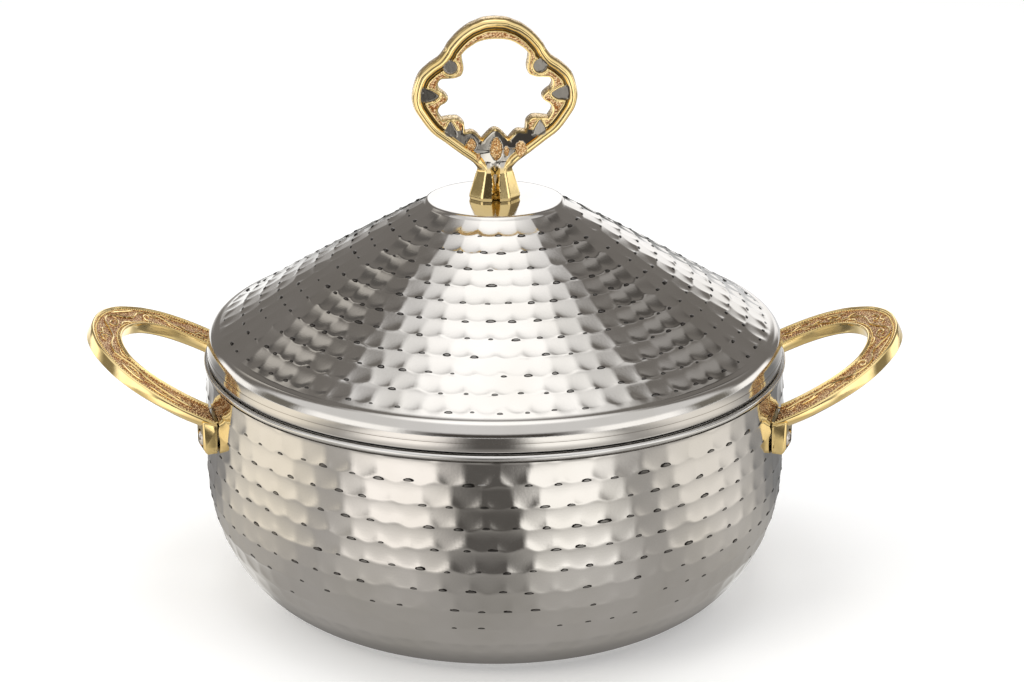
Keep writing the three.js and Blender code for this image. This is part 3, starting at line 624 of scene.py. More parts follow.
class Effects:
    """Shader groups that several finishes share, each built once."""

    def __init__(self) -> None:
        """Build the groups."""
        self.smudge = self._smudge()
        self.spun = self._spun()
        self.grain = self._grain()

    @staticmethod
    def _smudge() -> NodeTree:
        """Roughness that wanders between two values as handling and wiping leave it."""
        tree, given = new_tree("smudge", SHADER_TREE, {
            "Size": (FLOAT, 60.0), "Clean": (FLOAT, 0.08), "Wiped": (FLOAT, 0.2)}, {"Roughness": FLOAT})
        both = noise(tree, given["Size"], 4.0) * 0.7 + noise(tree, given["Size"] * 9.0, 2.0) * 0.3
        put(tree, "NodeGroupOutput", {0: spread(tree, both, 0.35, 0.65, given["Clean"], given["Wiped"])})
        return tree

    @staticmethod
    def _spun() -> NodeTree:
        """Fine rings round the Z axis that polishing on a spindle leaves, as a height."""
        tree, given = new_tree("spun_rings", SHADER_TREE, {"Fineness": (FLOAT, 2500.0)}, {"Height": FLOAT})
        place = split(tree, object_place(tree))
        turn = place["Y"].math("ARCTAN2", place["X"]) * 0.0004
        where = vector(tree, X=from_axis(tree, place), Y=place["Z"], Z=turn)
        put(tree, "NodeGroupOutput", {0: noise(tree, given["Fineness"], 2.0, where)})
        return tree

    @staticmethod
    def _grain() -> NodeTree:
        """Small round cast bumps, as a height."""
        tree, given = new_tree("cast_grain", SHADER_TREE, {"Size": (FLOAT, 1400.0)}, {"Height": FLOAT})
        cells = signal(tree, "ShaderNodeTexVoronoi", {"Vector": object_place(tree), "Scale": given["Size"]},
                       "Distance")
        dome = spread(tree, cells, 0.0, 0.7, 1.0, 0.0)
        put(tree, "NodeGroupOutput", {0: dome + noise(tree, given["Size"] * 0.45)})
        return tree


class Pattern(Enum):
    """What the fine relief of a finish is made of."""

    RINGS = "rings round the axis"
    GRAIN = "round bumps"
    SPECKS = "fine specks"


@dataclass(frozen=True)
class Finish:
    """A material: two tones, metal share, range of roughness and fine relief, in metres."""

    name: str
    colour: Colour
    second_colour: Colour
    metallic: float
    clean: float
    wiped: float
    patch: float
    fineness: float
    depth: float
    strength: float
    pattern: Pattern = Pattern.SPECKS
    detail: float = 3.0

    def material(self, effects: Effects) -> Material:
        """Build the material of its colour, its roughness and its fine relief."""
        material = bpy.data.materials.new(self.name)
        tree = emptied(material)
        bump = signal(tree, "ShaderNodeBump", {
            "Height": self.relief(tree, effects), "Distance": self.depth, "Strength": self.strength})
        shader = signal(tree, "ShaderNodeBsdfPrincipled", {
            "Base Color": self.paint(tree, effects), "Metallic": self.metallic,
            "Roughness": self.gloss(tree, effects), "Normal": bump})
        put(tree, "ShaderNodeOutputMaterial", {"Surface": shader})
        return material

    def paint(self, tree: NodeTree, effects: Effects) -> Signal:
        """Colour, which drifts slowly from one tone to the other."""
        drift = spread(tree, noise(tree, self.patch), 0.3, 0.7, 0.0, 1.0)
        return mix_colour(tree, drift, self.colour, self.second_colour)

    def gloss(self, tree: NodeTree, effects: Effects) -> Signal:
        """Roughness, from clean to wiped."""
        return use(tree, effects.smudge, Size=self.patch * 1.7, Clean=self.clean, Wiped=self.wiped)

    def relief(self, tree: NodeTree, effects: Effects) -> Signal:
        """Height of the fine relief."""
        if self.pattern is Pattern.RINGS:
            return use(tree, effects.spun, Fineness=self.fineness)
        if self.pattern is Pattern.GRAIN:
            return use(tree, effects.grain, Size=self.fineness)
        return noise(tree, self.fineness, self.detail)


@dataclass(frozen=True)
class HammeredSteel(Finish):
    """Polished stainless sheet with hair lines, and a painted dark reflection on each unstruck peak."""

    name: str = "hammered_steel"
    colour: Colour = (0.60, 0.58, 0.55)
    second_colour: Colour = (0.66, 0.64, 0.62)
    metallic: float = 1.0
    clean: float = 0.06
    wiped: float = 0.13
    patch: float = 35.0
    fineness: float = 1800.0
    depth: float = 0.00002
    strength: float = 0.5
    specks: float = 900.0
    # near-black colour painted on the unstruck peaks: a painted reflection of dark surroundings, not a real residue
    residue: Colour = (0.02, 0.018, 0.016)

    def paint(self, tree: NodeTree, effects: Effects) -> Signal:
        """Colour, painted near-black as a dark reflection where the peaks' vertex attribute asks for it."""
        return mix_colour(tree, painted(tree, "mark"), super().paint(tree, effects), self.residue)

    def relief(self, tree: NodeTree, effects: Effects) -> Signal:
        """Height of the hair lines and specks."""
        return use(tree, effects.spun, Fineness=self.fineness) * 0.5 + noise(tree, self.specks, 4.0)


@dataclass(frozen=True)
class PlatedGold(Finish):
    """Gold-plated casting: polished edges, a stippled ground, neutral pools, and painted shade and reflection.

    Vertex attributes say where the stipple and the pools lie, and where painted shade (channel, stem
    groove, lower field) and painted reflections (pools) darken the colour.
    """

    name: str = "plated_gold"
    colour: Colour = (0.95, 0.71, 0.30)
    second_colour: Colour = (1.0, 0.79, 0.40)
    metallic: float = 1.0
    clean: float = 0.05
    wiped: float = 0.12
    patch: float = 90.0
    fineness: float = 1150.0
    depth: float = 0.0005
    strength: float = 1.0
    specks: float = 700.0
    ground: Colour = (1.0, 0.74, 0.44)
    valley: Colour = (0.42, 0.17, 0.05)
    pool: Colour = (0.60, 0.57, 0.52)
    # near-black colour of the painted shade in the channel and groove and of the painted reflections in the pools
    residue: Colour = (0.03, 0.025, 0.02)
    ground_roughness: float = 0.26

    def paint(self, tree: NodeTree, effects: Effects) -> Signal:
        """Colour of the plate, the ground between its bumps, the pools, and the painted shade and reflection."""
        bumps = spread(tree, use(tree, effects.grain, Size=self.fineness), 0.6, 1.05, 0.0, 1.0)
        ground = mix_colour(tree, bumps, self.valley, self.ground)
        colour = mix_colour(tree, painted(tree, "stipple"), super().paint(tree, effects), ground)
        colour = mix_colour(tree, painted(tree, "pool"), colour, self.pool)
        # painted shade and reflection: channel, stem groove, lower field and pools
        return mix_colour(tree, painted(tree, "mark"), colour, self.residue)

    def gloss(self, tree: NodeTree, effects: Effects) -> Signal:
        """Roughness, higher on the stippled ground."""
        return super().gloss(tree, effects) + painted(tree, "stipple") * (self.ground_roughness - self.wiped)

    def relief(self, tree: NodeTree, effects: Effects) -> Signal:
        """Height of the stippled ground's bumps and of faint specks."""
        bumps = use(tree, effects.grain, Size=self.fineness) * painted(tree, "stipple")
        return bumps + noise(tree, self.specks) * 0.03


Finishes = dict[Slot, Material]
FINISHES = {
    Slot.HAMMERED: HammeredSteel(),
    Slot.SATIN: Finish(  # sheet with rings from the spinning lathe
        "satin_steel", (0.64, 0.63, 0.61), (0.70, 0.69, 0.68), metallic=1.0, clean=0.14, wiped=0.26,
        patch=30.0, fineness=3000.0, depth=0.00002, strength=0.8, pattern=Pattern.RINGS),
    Slot.GOLD: PlatedGold(),
    Slot.ZINC: Finish(
        "zinc_plate", (0.70, 0.66, 0.62), (0.60, 0.56, 0.53), metallic=1.0, clean=0.2, wiped=0.38,
        patch=400.0, fineness=2500.0, depth=0.00004, strength=0.6),
    Slot.FOAM: Finish(  # rigid foam with a fine cell skin
        "foam_fill", (0.86, 0.77, 0.52), (0.78, 0.66, 0.40), metallic=0.0, clean=0.85, wiped=1.0,
        patch=60.0, fineness=900.0, depth=0.0003, strength=0.8, pattern=Pattern.GRAIN),
    Slot.RUBBER: Finish(
        "plug_rubber", (0.035, 0.035, 0.038), (0.055, 0.053, 0.05), metallic=0.0, clean=0.55, wiped=0.75,
        patch=250.0, fineness=3500.0, depth=0.00005, strength=0.8, detail=4.0),
}


def make_finishes() -> Finishes:
    """Build the shared groups and the material of every slot."""
    effects = Effects()
    return {slot: finish.material(effects) for slot, finish in FINISHES.items()}


def place_piece(obj: Object, body: str, slot: Slot, finishes: Finishes, *nodes: str) -> None:
    """Dress a finished piece and hand it to the frame.

    Args:
        obj: the piece, in place and without modifiers.
        body: CAD body that it moves with.
        slot: material slot of the record.
        finishes: the part's finishes.
        nodes: CAD nodes that it stands for.
    """
    obj.data.materials.clear()
    obj.data.materials.append(finishes[slot])
    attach(obj, body)
    if nodes:
        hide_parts(*nodes)
    stands_for = ", ".join(nodes) or "no node"
    log.info("%s: %d faces on body %s, for %s", obj.name, len(obj.data.polygons), body, stands_for)


@dataclass(frozen=True)
class Patch:
    """A soft-edged area of a surface that only reflections see.

    Azimuths are in degrees from the camera's side, with the right-hand side positive. The second
    measure is the distance from the axis in metres on the table, and the elevation in degrees on
    the tent.
    """

    azimuth: float
    half_width: float
    blur: float
    low: float
    high: float
    fade: float
    colour: Colour

    def lay_on(self, tree: NodeTree, turn: Signal, second: Signal, colour: Signal | Colour) -> Signal:
        """Mix the patch over a colour and return the result."""
        away = ((turn - (self.azimuth - 180.0)).math("FLOORED_MODULO", 360.0) - 180.0).math("ABSOLUTE")
        share = soften(away, self.half_width + self.blur, self.half_width - self.blur)
        share = share * soften(second, self.low - self.fade, self.low + self.fade)
        share = share * soften(second, self.high + self.fade, self.high - self.fade)
        return mix_colour(tree, share, colour, self.colour)


def soften(value: Signal, zero_at: float, one_at: float) -> Signal:
    """Go smoothly from 0 where the value is zero_at to 1 where it is one_at."""
    falls = zero_at > one_at
    low, high = (one_at, zero_at) if falls else (zero_at, one_at)
    feeds = {"Value": value, "From Min": low, "From Max": high, "To Min": float(falls), "To Max": float(not falls)}
    return signal(value.tree, "ShaderNodeMapRange", feeds, interpolation_type="SMOOTHSTEP")


@dataclass(frozen=True)
class Lamp:
    """An area lamp that points at the middle of the object."""

    name: str
    place: Place
    size: float
    watts: float
    colour: Colour
    aim: Place = (0.0, 0.0, 0.1)

    def hang(self) -> None:
        """Make the lamp. Neither the camera nor a reflection sees it."""
        data = bpy.data.lights.new(self.name, "AREA")
        data.shape = "RECTANGLE"
        data.size = data.size_y = self.size
        data.energy, data.color = self.watts, self.colour
        lamp = bpy.data.objects.new(self.name, data)
        lamp.location = self.place
        lamp.rotation_euler = (Vector(self.aim) - Vector(self.place)).to_track_quat("-Z", "Y").to_euler()
        lamp.visible_camera = lamp.visible_glossy = False
        bpy.context.scene.collection.objects.link(lamp)


@dataclass
class Studio:
    """Camera, floor, backdrop light and the cards that the polished metal mirrors."""

    camera_place: Place = (0.0, -0.916, 0.4305)
    camera_pitch: float = 70.406
    sensor: float = 36.0
    lens: float = 81.39
    shift: float = 0.0169
    floor_half: float = 6000.0
    floor_colour: Colour = (0.80, 0.80, 0.80)
    floor_glow: float = 0.27
    world_colour: Colour = (1.0, 1.0, 1.0)
    world_strength: float = 0.75
    lamps: tuple[Lamp, ...] = (
        Lamp("overhead", (0, 0.1, 1.6), 1.1, 9.0, (1, 1, 1)),
        Lamp("front_left", (-1.1, -1.0, 1.1), 0.7, 7.0, (1.0, 0.95, 0.84)),
    )
    glow: float = 1.5
    glow_columns: int = 96
    tent_radius: float = 4000.0
    tent_sheet: float = 10.0
    table_radius: float = 2000.0
    table_heights: tuple[float, float] = (1.5, 1.6)
    table_ground: Colour = (0.30, 0.29, 0.275)
    table_patches: tuple[Patch, ...] = (
        # painted shadow of the pot on the table, which only reflections see
        Patch(0, 181, 0.5, -1, 0.104, 0.012, (0.11, 0.105, 0.10)),
        Patch(-98, 30, 8, 0.092, 0.13, 0.008, (0.55, 0.54, 0.52)),
        Patch(98, 28, 8, 0.092, 0.118, 0.008, (0.55, 0.55, 0.54)),
        Patch(23, 15, 9, 0.25, 9, 0.14, (1.02, 1.0, 0.96)),
        Patch(-31, 15, 9, 0.25, 9, 0.14, (0.97, 0.93, 0.88)),
        Patch(-1, 10, 6, 0.2, 9, 0.1, (0.085, 0.08, 0.075)),
        Patch(74, 17, 12, 0.22, 9, 0.12, (0.74, 0.71, 0.66)),
        Patch(-82, 20, 14, 0.22, 9, 0.12, (0.82, 0.76, 0.65)),
        Patch(-118, 14, 8, 0.15, 9, 0.03, (0.19, 0.185, 0.18)),
        Patch(118, 14, 8, 0.15, 9, 0.03, (0.16, 0.16, 0.16)),
        Patch(-160, 25, 10, 0.15, 9, 0.03, (0.85, 0.85, 0.84)),
        Patch(160, 25, 10, 0.15, 9, 0.03, (0.5, 0.5, 0.5)),
        Patch(180, 14, 6, 0.33, 9, 0.05, (0.06, 0.06, 0.055)),
    )
    tent_ground: Colour = (1.1, 1.095, 1.085)
    tent_patches: tuple[Patch, ...] = (
        Patch(0, 181, 1, -9, 71, 9, (0.6, 0.595, 0.59)),
        Patch(180, 76, 8, -9, 61, 5, (0.15, 0.14, 0.13)),
        Patch(-131, 6, 5, 30, 47, 6, (0.46, 0.44, 0.41)),
        Patch(131, 6, 5, 34, 52, 6, (0.28, 0.27, 0.26)),
        Patch(-141, 4, 3, 36, 52, 5, (0.09, 0.085, 0.08)),
        Patch(141, 4, 3, 36, 52, 5, (0.07, 0.065, 0.06)),
        Patch(162, 11, 4, -9, 15, 4, (0.85, 0.84, 0.83)),
        Patch(-161, 6, 4, -9, 8, 3, (0.33, 0.32, 0.31)),
        Patch(180, 11, 3, 6, 30, 2, (1.0, 1.0, 1.0)),
        Patch(0, 30, 12, -9, 15, 5, (0.05, 0.045, 0.04)),
        Patch(55, 19, 6, -9, 20, 5, (1.0, 0.99, 0.97)),
        Patch(-55, 19, 6, -9, 20, 5, (1.0, 0.99, 0.97)),
        Patch(90, 10, 4, -9, 22, 5, (0.15, 0.14, 0.12)),
        Patch(-90, 10, 4, -9, 22, 5, (0.15, 0.14, 0.12)),
        Patch(118, 14, 4, -9, 15, 4, (1.0, 0.99, 0.97)),
        Patch(-118, 14, 4, -9, 15, 4, (1.0, 0.99, 0.97)),
    )

    def build(self) -> None:
        """Make the camera first, then the floor, the light and what the metal mirrors."""
        self.make_camera()
        self.make_world()
        self.make_floor()
        for lamp in self.lamps:
            lamp.hang()
        low, high = self.table_heights
        plate = [(0, low), (self.table_radius, low), (self.table_radius, high), (0, high)]
        table = lathe("glow_table", plate, self.glow_columns)
        self.make_glow(table, self.table_ground, self.table_patches, by_distance=True)
        radius, sheet = self.tent_radius, self.tent_sheet
        dome = arc((0, 0), radius, radius, np.linspace(-1, 89.9, 24))
        skin = [(r + sheet, z + sheet) for r, z in dome[::-1]]
        tent = lathe("glow_tent", dome + [(0, radius), (0, radius + sheet)] + skin, self.glow_columns)
        self.make_glow(tent, self.tent_ground, self.tent_patches, by_distance=False)
        bpy.context.scene.view_settings.view_transform = "Standard"

    def make_camera(self) -> None:
        """Place the camera at the viewing angle of the photograph."""
        data = bpy.data.cameras.new("camera")
        data.sensor_width, data.lens, data.shift_x = self.sensor, self.lens, self.shift
        camera = bpy.data.objects.new("camera", data)
        camera.location = self.camera_place
        camera.rotation_euler = (math.radians(self.camera_pitch), 0, 0)
        bpy.context.scene.collection.objects.link(camera)
        bpy.context.scene.camera = camera

    def make_world(self) -> None:
        """Light the room evenly, and show white to the camera and in glass and metal."""
        world = bpy.data.worlds.new("room")
        bpy.context.scene.world = world
        tree = emptied(world)
        room = signal(tree, "ShaderNodeBackground",
                      {"Color": (*self.world_colour, 1), "Strength": self.world_strength})
        backdrop = signal(tree, "ShaderNodeBackground", {"Color": (1, 1, 1, 1), "Strength": 1.0})
        path = signals(tree, "ShaderNodeLightPath")
        seen = path["Is Camera Ray"].math("MAXIMUM", path["Is Transmission Ray"])
        seen = seen.math("MAXIMUM", path["Is Glossy Ray"])
        mixed = signal(tree, "ShaderNodeMixShader", {0: seen, 1: room, 2: backdrop})
        put(tree, "ShaderNodeOutputWorld", {"Surface": mixed})

    def make_floor(self) -> None:
        """Lay a plain pale floor that turns white where nothing shades it."""
        h = self.floor_half
        floor = new_object("floor", [(-h, -h, 0), (h, -h, 0), (h, h, 0), (-h, h, 0)], [(0, 1, 2, 3)])
        material = bpy.data.materials.new("pale_floor")
        tree = emptied(material)
        paint = signal(tree, "ShaderNodeBsdfDiffuse", {"Color": (*self.floor_colour, 1)})
        white = signal(tree, "ShaderNodeEmission", {"Color": (1, 1, 1, 1), "Strength": self.floor_glow})
        both = signal(tree, "ShaderNodeAddShader", {0: paint, 1: white})
        path = signals(tree, "ShaderNodeLightPath")
        seen = path["Is Camera Ray"].math("MAXIMUM", path["Is Glossy Ray"])
        mixed = signal(tree, "ShaderNodeMixShader", {0: seen, 1: paint, 2: both})
        put(tree, "ShaderNodeOutputMaterial", {"Surface": mixed})
        floor.data.materials.append(material)

    def make_glow(self, obj: Object, ground: Colour, patches: tuple[Patch, ...], by_distance: bool) -> None:
        """Make a surface glow for reflections alone, in soft-edged patches.

        Args:
            obj: the table or the tent.
            ground: colour where no patch lies.
            patches: laid one over the other, in this order.
            by_distance: whether the patches' second measure is the distance from the axis.
        """
        material = bpy.data.materials.new(obj.name)
        tree = emptied(material)
        place = split(tree, object_place(tree))
        turn = place["X"].math("ARCTAN2", place["Y"] * -1.0).math("DEGREES")
        away = from_axis(tree, place)
        rise = place["Z"].math("ARCTAN2", away).math("DEGREES")
        colour = ground
        for patch in patches:
            colour = patch.lay_on(tree, turn, away if by_distance else rise, colour)
        glow = signal(tree, "ShaderNodeEmission", {"Color": colour, "Strength": self.glow})
        put(tree, "ShaderNodeOutputMaterial", {"Surface": glow})
        obj.data.materials.append(material)
        obj.visible_camera = obj.visible_diffuse = obj.visible_shadow = obj.visible_transmission = False


# Shares of a row at which its sheet is divided, closest where it meets the next row
RIDGE_STEPS = (0.0, 0.06, 0.13, 0.23, 0.41, 0.59, 0.77, 0.87, 0.94)


def struck_band(line: Array, rows: int) -> list[Point]:
    """Places along a struck band, closer together at the ridges between its rows."""
    even = divide_evenly(line, 0.05)
    shares = [(row + step) / rows for row in range(rows) for step in RIDGE_STEPS] + [1.0]
    return [tuple(even[round(share * (len(even) - 1))]) for share in shares]


@dataclass
class Blows:
    """How a band of the sheet was struck."""

    rows: int
    top_spacing: float
    foot_spacing: float
    wander: float = 0.12
    depth: float = 0.42
    ball: float = 31.0
    cliff: float = 0.62
    faded_rows: float = 0.01
    peak: float = 1.9
    scatter: float = 0.1
    least: float = 0.66
    most: int = 100
    seed: int = 3

    def inputs(self, line: Array, finish: Material) -> dict:
        """Values of the trees' inputs that lay out the rows along a struck band."""
        return {
            "Finish": finish, "Rows": float(self.rows), "Top Radius": line[0][0] * MM,
            "Foot Radius": line[-1][0] * MM, "Top Spacing": self.top_spacing * MM,
            "Foot Spacing": self.foot_spacing * MM, "Faded Rows": self.faded_rows, "Seed": self.seed,
        }


@dataclass
class Peak:
    """A small place that no blow reached: rounded above, flat below and level on top.

    Each ring has its scale, its height and how dark its painted reflection is.
    """

    half_length: float
    above: float = 0.95
    below: float = 0.42
    rings: tuple = ((1.3, -0.36, 1.0), (1.0, -0.06, 1.0), (0.84, 0.04, 1.0), (0.55, 0.09, 0.75))
    tip: Point = (-0.2, 0.01)
    corners: int = 10

    def make(self) -> Object:
        """One peak about the origin, its upper side towards -X and its top towards +Z."""
        n = self.corners
        turns = np.arange(n) * FULL_TURN / n
        across = np.where(np.sin(turns) > 0, -self.above, -self.below) * np.sin(turns)
        outline = np.column_stack([across, self.half_length * np.cos(turns)])
        scales, heights, marks = np.array(self.rings).T
        verts = [np.column_stack([outline * scale, np.full(n, z)]) for scale, z in zip(scales, heights)]
        verts = np.vstack([*verts, [(self.tip[0], 0, heights[-1] + self.tip[1])]])
        faces = [tuple(range(n))]
        for low in range(0, (len(scales) - 1) * n, n):
            faces += [(low + i, low + (i + 1) % n, low + n + (i + 1) % n, low + n + i) for i in range(n)]
        top = len(verts) - 1
        faces += [(top - n + i, top - n + (i + 1) % n, top) for i in range(n)]
        peak = new_object("peak", verts, faces)
        tidy_normals(peak)
        # how dark each ring's painted reflection is, stored for the steel's colour
        put_values(peak, "mark", np.interp(vertex_places(peak)[:, 2], heights, marks))
        return peak


@dataclass
class Hammer:
    """Geometry trees that strike a turned sheet, and the finishes for what they make."""

    blow_tree: NodeTree
    peak_tree: NodeTree
    finishes: Finishes

    def work(self, shell: Object, body: str, node: str, line: Array, blows: Blows) -> None:
        """Strike a turned shell, hand it to the frame and leave its unstruck peaks.

        Args:
            shell: the turned sheet, bored.
            body: CAD body that it moves with.
            node: CAD node that it stands for.
            line: radius and height along the struck band, from its top to its foot.
            blows: count, spacing and depth of the blows.
        """
        self.strike(shell, line, blows)
        shade(shell, 50)
        place_piece(shell, body, Slot.HAMMERED, self.finishes, node)
        self.leave_peaks(body, line, blows)

    def strike(self, sheet: Object, line: Array, blows: Blows) -> None:
        """Run the hammer blow tree over the outside of a turned sheet."""
        places = vertex_places(sheet)
        section = np.column_stack([np.hypot(places[:, 0], places[:, 1]), places[:, 2]])
        even = divide_evenly(line, 0.5)
        put_values(sheet, "struck", 1 - ramp(distance_to(section, even, closed=False), 0.25, 0.45))
        order = np.argsort(even[:, 1])
        shares = np.linspace(0, 1, len(even))
        put_values(sheet, "row_place", np.interp(section[:, 1], even[order, 1], shares[order]) * blows.rows)
        length = np.linalg.norm(np.diff(line, axis=0), axis=1).sum()
        grow(sheet, self.blow_tree, {
            **blows.inputs(line, self.finishes[Slot.HAMMERED]), "Pitch": length / blows.rows * MM,
            "Wander": blows.wander, "Depth": blows.depth * MM, "Ball Radius": blows.ball * MM, "Cliff": blows.cliff,
        })
        for name in ("struck", "row_place"):
            sheet.data.attributes.remove(sheet.data.attributes[name])

    def leave_peaks(self, body: str, line: Array, blows: Blows) -> None:
        """Set the unstruck peaks of a band as one piece."""
        places = [(radius, 0, height) for radius, height in divide_evenly(line, 1.0)]
        path = new_object("band_line", places, [], [(i, i + 1) for i in range(len(places) - 1)])
        peak = Peak(blows.peak).make()
        peaks = new_object(f"{body}_peaks", [], [])
        grow(peaks, self.peak_tree, {
            **blows.inputs(line, self.finishes[Slot.HAMMERED]), "Line": path, "Peak": peak, "Most": blows.most,
            "Scatter": blows.scatter, "Least": blows.least,
        })
        remove(path, peak)
        shade(peaks, 60)
        place_piece(peaks, body, Slot.HAMMERED, self.finishes)


@dataclass
class HammeredPot:
    """Outer shell of the pot: base panel, swept belly, struck wall and neck."""

    belly_radius: float = 121.9
    rim_radius: float = 120.5
    base_radius: float = 85.0
    belly_height: float = 55.0
    height: float = 102.0
    power: float = 1.9
    sheet: float = 1.0
    panel_radius: float = 66.0
    panel_step: float = 3.0
    panel_rise: float = 1.6
    hole_radius: float = 9.0
    neck_foot: float = 99.5
    neck_top: float = 100.7
    neck_step: float = 0.9
    band: tuple[float, float] = (98.6, 7.0)
    columns: int = 600
    blows: Blows = field(default_factory=lambda: Blows(11, 11.5, 8.6, faded_rows=6.0, seed=11))

    def wall(self, height: Array | float) -> Array:
        """Outside radius of the wall at a height."""
        drop = np.clip((self.belly_height - height) / self.belly_height, 0, 1)
        sweep = self.belly_radius - self.base_radius
        low = self.base_radius + sweep * (1 - drop**self.power) ** (1 / self.power)
        rise = np.clip((height - self.belly_height) / (self.height - self.belly_height), 0, 1)
        high = self.belly_radius - (self.belly_radius - self.rim_radius) * rise**2
        return np.where(height < self.belly_height, low, high)

    def along_wall(self, heights: list[float] | Array, outwards: float = 0.0) -> list[Point]:
        """Places of an outline at a distance from the wall's outside."""
        return [(float(self.wall(height)) + outwards, float(height)) for height in heights]

    def band_line(self) -> Array:
        """The struck part of the wall, from its top row to its lowest, in fine steps."""
        heights = np.linspace(*self.band, 400)
        return np.column_stack([self.wall(heights), heights])

    def outline(self) -> list[Point]:
        """Section of the shell, once round."""
        neck, top, up = self.rim_radius - self.neck_step, self.neck_top, self.sheet
        panel, step, rise, hole = self.panel_radius, self.panel_step, self.panel_rise, self.hole_radius
        neck_line = [(neck - up, top - 0.1), (neck - up + 0.1, top), (neck, top), (neck, self.neck_foot),
                     (float(self.wall(98.9)), 99.1)]
        foot = self.along_wall([5.2, 3.6, 2.2, 1.1, 0.35])
        base = [(self.base_radius - 0.2, 0), (self.base_radius - 5, 0), (panel + step + 0.6, 0), (panel + step, 0.1),
                (panel + step / 2, rise / 2), (panel, rise - 0.1), (panel - 0.6, rise), (panel / 2, rise),
                (hole + 0.3, rise), (hole, rise + 0.3)]
        inner = [(hole, rise + up - 0.3), (hole + 0.3, rise + up), (panel - 0.5, rise + up), (panel + step, up),
                 (self.base_radius, up)]
        inner += self.along_wall([1.6, 3.5, 7, 12, 20, 30, 42, 55, 75, 98], -up)
        return neck_line + struck_band(self.band_line(), self.blows.rows) + foot + base + inner

    def build(self, hammer: Hammer, drills: list[Object]) -> None:
        """Turn the shell, bore the holes of the handle screws and strike it."""
        shell = lathe("hammered_pot", self.outline(), self.columns)
        for drill in drills:
            boolean(shell, drill, "DIFFERENCE")
        hammer.work(shell, POT, "outer_shell", self.band_line(), self.blows)


@dataclass
class HammeredLid:
    """Lid shell: flat disc, struck cone, rolled shoulder and plain skirt."""

    disc_radius: float = 29.0
    disc_height: float = 166.9
    disc_round: float = 1.2
    slope_foot: Point = (115.0, 114.3)
    crown: float = 0.6
    radius: float = 120.0
    shoulder_run: float = 5.0
    skirt_top: float = 107.0
    edge: float = 102.9
    sheet: float = 1.0
    stud_hole: float = 3.3
    columns: int = 600
    blows: Blows = field(default_factory=lambda: Blows(11, 7.4, 10.0, peak=1.5, seed=5))
    band_shares: tuple[float, float] = (0.0, 0.975)

    def slope(self, share: float) -> Point:
        """Place on the cone from the disc's edge (0) to the shoulder (1)."""
        top = (self.disc_radius, self.disc_height - self.disc_round)
        rise = self.crown * 4 * share * (1 - share)
        return (top[0] + (self.slope_foot[0] - top[0]) * share,
                top[1] + (self.slope_foot[1] - top[1]) * share + rise)

    def band_line(self) -> Array:
        """The struck part of the cone, from its top row to its lowest."""
        return np.array([self.slope(share) for share in np.linspace(*self.band_shares, 300)])

    def outline(self) -> list[Point]:
        """Section of the lid shell, once round."""
        z, hole, inside_radius = self.disc_height, self.stud_hole, self.radius - self.sheet
        disc = [(hole, z), (12, z)] + beside(self.disc_radius, z, (-2.6, 0), (-1.5, -0.06), (-0.7, -0.4))
        corner = (self.slope_foot[0], self.skirt_top)
        shoulder = [self.slope(0.99), self.slope_foot]
        shoulder += arc(corner, self.shoulder_run, self.slope_foot[1] - self.skirt_top,
                        [78, 66, 54, 42, 30, 19, 9, 0])
        skirt = beside(self.radius, self.skirt_top, (-0.02, -0.15), (-0.3, -0.3), (-0.3, -0.5), (-0.02, -0.65),
                       (0, -1.6))
        skirt += [(self.radius, self.edge + 0.4), (self.radius - 0.3, self.edge), (inside_radius + 0.1, self.edge)]
        inner = [(inside_radius, self.edge + 0.3), (inside_radius, self.skirt_top)]
        inner += beside(*self.slope_foot, (2, -3.2))
        for share in np.linspace(0.99, 0.0, 8):
            inner += beside(*self.slope(share), (-0.5, -0.9))
        inner += [(self.disc_radius - 3, z - self.sheet), (hole, z - self.sheet)]
        return disc + struck_band(self.band_line(), self.blows.rows) + shoulder + skirt + inner

    def build(self, hammer: Hammer) -> None:
        """Turn the shell and strike its cone."""
        shell = lathe("hammered_lid", self.outline(), self.columns)
        hammer.work(shell, LID, "lid_shell", self.band_line(), self.blows)


def mirrored(half: Array) -> Array:
    """Close a half outline, which starts and ends on the axis, with its mirror image."""
    return np.vstack([half, half[1:-1][::-1] * [-1, 1]])


def smooth_stretches(stretches: tuple[tuple[Point, ...], ...], step: float) -> Array:
    """Join smooth curves end to end, with a corner wherever two of them meet."""
    parts = [smooth_curve(stretch, step) for stretch in stretches]
    return np.vstack([part[:-1] for part in parts[:-1]] + [parts[-1]])


def level_line(loop: Array, distance: float, step: float) -> Array:
    """Places at one distance inside a loop, or outside it when distance is below zero."""
    line = divide_evenly(np.vstack([loop, loop[:1]]), step, closed=True)
    along = np.roll(line, -1, axis=0) - np.roll(line, 1, axis=0)
    side = np.column_stack([-along[:, 1], along[:, 0]])
    side /= np.maximum(np.linalg.norm(side, axis=1), 1e-9)[:, None]
    area = (loop[:, 0] * np.roll(loop[:, 1], -1) - np.roll(loop[:, 0], -1) * loop[:, 1]).sum()
    moved = line + side * distance * np.sign(area)
    return moved[distance_to(moved, loop) > abs(distance) - 0.03]


